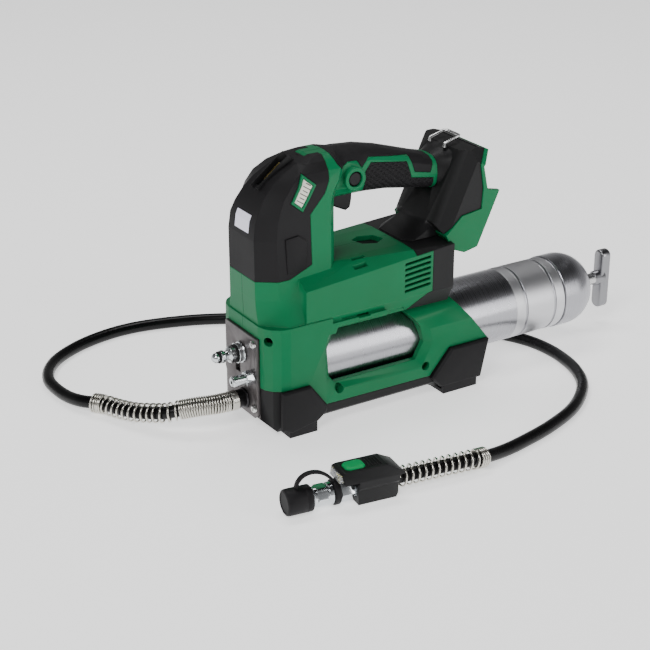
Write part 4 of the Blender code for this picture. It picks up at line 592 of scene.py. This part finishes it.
# Cut knurl on the same aluminium, its colour painted paler than the turned tube: a painted glint for the light
# its thousands of small faces catch. It is rougher too.
knurl_aluminium_painted_glint, tree, shader = finish_of("knurl_aluminium_painted_glint", "#CFCFD2", 0.42, 1.0)
knurl_steps = round(2 * math.pi * BARREL_RADIUS / KNURL_PITCH) * 2
for number, (start, end) in enumerate((
    (KNURL_START, GROOVES[0] - GROOVE_HALF_WIDTH),
    (GROOVES[0] + GROOVE_HALF_WIDTH, GROOVES[1] - GROOVE_HALF_WIDTH),
    (GROOVES[1] + GROOVE_HALF_WIDTH, BARREL_REAR - 0.5),
)):
    rows = round((end - start) / KNURL_PITCH * 2)
    profile = [(start, 27.8), (start, 28.35)]
    profile += [
        (start + 0.3 + (end - start - 0.6) * row / rows, BARREL_RADIUS - KNURL_DEPTH) for row in range(rows + 1)
    ]
    profile += [(end, 28.35), (end, 27.8)]
    band = lathe(profile, knurl_steps)
    spacing = (end - start - 0.6) / rows
    for point in band.verts:
        row = (point.co.x - start - 0.3) / spacing
        column = math.atan2(point.co.z, point.co.y) / (2 * math.pi) * knurl_steps
        radius = math.hypot(point.co.y, point.co.z)
        if radius > 28.1 and abs(row - round(row)) < 0.05 and 0 < round(row) < rows and radius < 28.34:
            raised = (round(row) + round(column)) % 2
            grow = (BARREL_RADIUS - KNURL_DEPTH * (1 - raised)) / radius
            point.co.y *= grow
            point.co.z *= grow
    # The bands take the paler aluminium, whose extra brightness is painted glint.
    settled(f"knurl_band_{number + 1}", band, knurl_aluminium_painted_glint, body="barrel",
            matrix=on_barrel, sharp=80)

# ---------------------------------------------------------------- end cap, plunger rod and tee handle
# The cap is a spun aluminium dome pressed on the tube. The follower's rod slides through it and ends in a
# die-cast tee that the hand pulls to load a cartridge.
CAP_START = 117.9
DOME_RADIUS = 29.2
DOME_ROUND = 26.0
dome_profile = [(-8.0, 24.5), (-8.0, 26.4), (0.0, 26.4), (0.0, 28.7), (0.5, DOME_RADIUS)]
dome_profile += [
    (
        13.0 + DOME_ROUND * math.sin(math.radians(turn)),
        DOME_RADIUS - DOME_ROUND + DOME_ROUND * math.cos(math.radians(turn)),
    )
    for turn in range(0, 73, 6)
]
dome_profile += [(38.6, 9.5), (39.0, 8.6), (39.0, 5.0), (36.0, 5.0), (36.0, 9.0), (26.0, 21.0), (13.0, 24.5)]
settled("end_cap_spun", lathe(dome_profile, 128), turned_aluminium, body="barrel",
        instead_of=["end_cap"], matrix=on_barrel @ Matrix.Translation((CAP_START, 0, 0)), sharp=40)
bright_rod, tree, shader = finish_of("ground_steel_rod", "#C8C8C8", 0.22, 1.0)
rod_low, rod_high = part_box("plunger_rod")
rod_profile = [(rod_low[0] / MM, 0), (rod_low[0] / MM, 4.7), (rod_high[0] / MM, 4.7), (rod_high[0] / MM, 0)]
settled("rod_ground", lathe(rod_profile, 48), bright_rod, body="rod", instead_of=["plunger_rod"],
        matrix=on_barrel)

# Die-cast zinc, tumbled: satin, with a slightly pebbled skin.
cast_zinc, tree, shader = finish_of("tumbled_zinc_casting", "#8E8E91", 0.3, 1.0)
where = add(tree, "ShaderNodeTexCoord", {})
skin_noise = add(tree, "ShaderNodeTexNoise", {"Vector": where.outputs["Object"], "Scale": 500.0, "Detail": 3.0})
bump = add(tree, "ShaderNodeBump", {"Height": skin_noise.outputs[0], "Strength": 0.08, "Distance": 0.0003})
tree.links.new(bump.outputs[0], shader.inputs["Normal"])
tee_low, tee_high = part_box("tee_handle")
TEE_BAR_FRONT = 174.5
tee = bmesh.new()
bmesh.ops.create_cube(tee, size=1.0)
tee_size = Vector((
    tee_high[0] / MM - TEE_BAR_FRONT,
    (tee_high[1] - tee_low[1]) / MM,
    (tee_high[2] - tee_low[2]) / MM,
))
bmesh.ops.scale(tee, vec=tee_size, verts=tee.verts)
ends = [edge for edge in tee.edges if abs(edge.verts[0].co.x - edge.verts[1].co.x) > 1]
bmesh.ops.bevel(tee, geom=ends, offset=5.2, affect="EDGES", segments=7, profile=0.5, material=-1)
edge_bevel(tee, 1.8, 4, 50)
tee_middle = Vector((TEE_BAR_FRONT + tee_size.x / 2, 0, (tee_low[2] + tee_high[2]) / 2 / MM))
settled("tee_bar", tee, cast_zinc, body="rod", instead_of=["tee_handle"],
        matrix=Matrix.Translation(tee_middle), sharp=50)
hub = lathe([
    (tee_low[0] / MM, 0), (tee_low[0] / MM, 5.4), (tee_low[0] / MM + 0.8, 6.0), (174.5, 6.0), (176.5, 7.4),
    (178.0, 8.4), (178.0, 0),
], 48)
bmesh.ops.scale(hub, vec=(1, 0.88, 1), verts=hub.verts)
settled("tee_hub", hub, cast_zinc, body="rod", matrix=on_barrel, sharp=50)

# ---------------------------------------------------------------- housing
# Two moulded halves screwed together along the tool's middle. They carry the pump head, wrap the barrel with a
# window on each side, and hold the motor in the deck.
# Glass-filled nylon dyed emerald: satin, with a fine grain that softens every highlight.
green_nylon, tree, shader = finish_of("emerald_nylon", "#006C3F", 0.4)
where = add(tree, "ShaderNodeTexCoord", {})
grain = add(tree, "ShaderNodeTexNoise", {"Vector": where.outputs["Object"], "Scale": 1000.0, "Detail": 3.0})
shade = add(tree, "ShaderNodeTexNoise", {"Vector": where.outputs["Object"], "Scale": 18.0, "Detail": 3.0})
tone = add(tree, "ShaderNodeValToRGB", {0: shade.outputs[0]})
tone.color_ramp.elements[0].position = 0.3
tone.color_ramp.elements[0].color = linear("#006A3E")
tone.color_ramp.elements[1].position = 0.7
tone.color_ramp.elements[1].color = linear("#007145")
spread = add(tree, "ShaderNodeMapRange", {"Value": shade.outputs[0], "To Min": 0.36, "To Max": 0.46})
edge = add(tree, "ShaderNodeBevel", {"Radius": 0.0011}, samples=6)
bump = add(tree, "ShaderNodeBump", {
    "Height": grain.outputs[0], "Strength": 0.16, "Distance": 0.0002, "Normal": edge.outputs[0],
})
tree.links.new(tone.outputs[0], shader.inputs["Base Color"])
tree.links.new(spread.outputs[0], shader.inputs["Roughness"])
tree.links.new(bump.outputs[0], shader.inputs["Normal"])
fair_copy("housing_left", green_nylon, sharp=20)
fair_copy("housing_right", green_nylon, sharp=20)

# ---------------------------------------------------------------- covers and grips
# Soft rubber moulded over the column and the handle, with a raised pad on each side of the column. The rear
# cover over the motor's end is hard black nylon.
fair_copy("front_cover", soft_rubber, sharp=24)
PAD_BACK = 26.5
PAD_FACE = 28.3
PAD_OUTLINE = ((-137, 120.5), (-138.5, 146.6), (-127.7, 147.8), (-121.2, 142.7), (-121.7, 121.9))


def plaque(outline, low, high, rounding=0.5):
    """A flat plate with a side outline of (x, z) corners, from y = low to y = high."""
    shape = bmesh.new()
    face = shape.faces.new([shape.verts.new((x, low, z)) for x, z in outline])
    grown = bmesh.ops.extrude_face_region(shape, geom=[face])
    bmesh.ops.translate(shape, vec=(0, high - low, 0),
                        verts=[made for made in grown["geom"] if isinstance(made, bmesh.types.BMVert)])
    bmesh.ops.recalc_face_normals(shape, faces=shape.faces)
    return edge_bevel(shape, rounding)


for side, low, high in (("left", -PAD_FACE, -PAD_BACK), ("right", PAD_BACK, PAD_FACE)):
    settled("cover_pad_" + side, plaque(PAD_OUTLINE, low, high), soft_rubber)
fair_copy("grip_top", soft_rubber)
# The palm's rubber is moulded with small raised diamonds, 3 mm apart.
diamond_rubber, tree, shader = finish_of("diamond_rubber", "#161517", 0.6)
where = add(tree, "ShaderNodeTexCoord", {})
slopes = []
for turn in (0.96, -0.96):
    turned_way = add(tree, "ShaderNodeMapping", {
        "Vector": where.outputs["Object"], "Rotation": (0.0, turn, 0.0),
    })
    ridges = add(tree, "ShaderNodeTexWave", {"Vector": turned_way.outputs[0], "Scale": 105.0},
                 wave_type="BANDS", bands_direction="X")
    slopes.append(ridges.outputs["Fac"])
diamonds = add(tree, "ShaderNodeMath", {0: slopes[0], 1: slopes[1]}, operation="MINIMUM")
bump = add(tree, "ShaderNodeBump", {"Height": diamonds.outputs[0], "Strength": 0.9, "Distance": 0.0008})
tree.links.new(bump.outputs[0], shader.inputs["Normal"])
fair_copy("grip_palm", diamond_rubber)
fair_copy("rear_cover", black_nylon, sharp=20)

# ---------------------------------------------------------------- display and work light
# A cream gauge in a green frame on the column's shoulder, and a diffusing window over the work light in front.
cream, tree, shader = finish_of("cream_gauge_film", "#E9EBDD", 0.25)
lavender, tree, shader = finish_of("diffusing_window", "#E4E2F2", 0.3)
shader.inputs["Emission Color"].default_value = linear("#E4E2F2")
shader.inputs["Emission Strength"].default_value = 0.25
fair_copy("display_bezel", green_nylon)
gauge = fair_copy("display_gauge", cream)
fair_copy("led_lens", lavender)
gauge_ink, tree, shader = finish_of("gauge_ink", "#1B1B1C", 0.4)
bpy.context.view_layer.update()
GAUGE_LOW = Vector((-126.6, 0, 170.4))
GAUGE_HIGH = Vector((-117.8, 0, 183.8))
for number in range(6):
    spot = GAUGE_LOW.lerp(GAUGE_HIGH, (number + 0.5) / 6)
    found, touch, out, _ = gauge.ray_cast(Vector((spot.x * MM, -0.06, spot.z * MM)), Vector((0, 1, 0)))
    if found:
        across_gauge = (GAUGE_HIGH - GAUGE_LOW).normalized()
        facing = Matrix((across_gauge.cross(out), across_gauge, out)).transposed().to_4x4()
        length = 2.2 if number % 2 else 3.2
        settled(f"gauge_mark_{number + 1}", bar((-length, -0.3, -0.3), (length, 0.3, 0.12), 0.05), gauge_ink,
                matrix=Matrix.Translation(touch / MM) @ facing)

# ---------------------------------------------------------------- dark plate under the deck's opening, as painted shade
# A black nylon plate set inside the housing under the opening in the deck, over the motor: painted shade, a
# dark sheet where the opening's inside lies in shade.
# This black plate is painted shade for the inside of the deck's opening.
settled("deck_opening_shade_plate", bar((-65, -11.5, 115.4), (-39, 11.5, 116.8)), black_nylon)

# ---------------------------------------------------------------- trigger, lock and strap hardware
# Moulded switch parts, with a bent bar at the front and a wire loop at the rear for a shoulder strap.
fair_copy("trigger", black_nylon, rounding=0.8)
fair_copy("lock_button", black_nylon)
bar_brass, tree, shader = finish_of("yellow_passivated_steel", "#6B5E36", 0.3, 1.0)
fair_copy("strap_bar", bar_brass)
slot_floor = Matrix.Translation((-136, 0, 174)) @ Matrix.Rotation(math.radians(-37.3), 4, "Y")
for name, low, high in (
    ("strap_slot_floor", (-2, -4.4, 0.1), (27, 4.4, 0.6)),
    ("strap_slot_wall_left", (-6, -4.45, 0.1), (27, -3.95, 11.0)),
    ("strap_slot_wall_right", (-6, 3.95, 0.1), (27, 4.45, 11.0)),
):
    settled(name, bar(low, high, 0.1), black_nylon, matrix=slot_floor)
fair_copy("strap_loop", bright_rod)

# ---------------------------------------------------------------- battery dock
# The slide-on battery mount: a black carrier with rails and contacts, edged by a green rim that guards the
# battery.
fair_copy("battery_dock", black_nylon)
fair_copy("dock_rim", green_nylon)
fair_copy("terminal_block", black_nylon)
contact_brass, tree, shader = finish_of("spring_brass", "#C9A24B", 0.25, 1.0)
fair_copy("terminal_blade_left", contact_brass)
fair_copy("terminal_blade_right", contact_brass)

# ---------------------------------------------------------------- base and feet
# A black nylon tray under the barrel, with four soft rubber feet wrapped round its corners.
fair_copy("base_tray", black_nylon)
for node in ("foot_front_left", "foot_front_right", "foot_rear_left", "foot_rear_right"):
    fair_copy(node, soft_rubber, rounding=0.5, over=15, relief=(4.5, 1.6))

# ---------------------------------------------------------------- inside the housing
# Motor, gears, pump drive, switch and board: ordinary bright and oiled steel, seen only when the tool is
# opened.
for node in (
    "motor_can", "ring_gear", "rotor", "planet_carrier", "planet_gear_1", "planet_gear_2", "planet_gear_3",
    "pump_plunger", "trigger_pin", "follower_plate", "follower_spring", "bearing_plate",
):
    frame["nodes"][node].material_slots[0].material = bright_rod
for node in ("cooling_fan", "switch_body"):
    frame["nodes"][node].material_slots[0].material = black_nylon
frame["nodes"]["follower_seal"].material_slots[0].material = soft_rubber
board_green, tree, shader = finish_of("solder_resist", "#0F5A32", 0.35)
frame["nodes"]["control_board"].material_slots[0].material = board_green
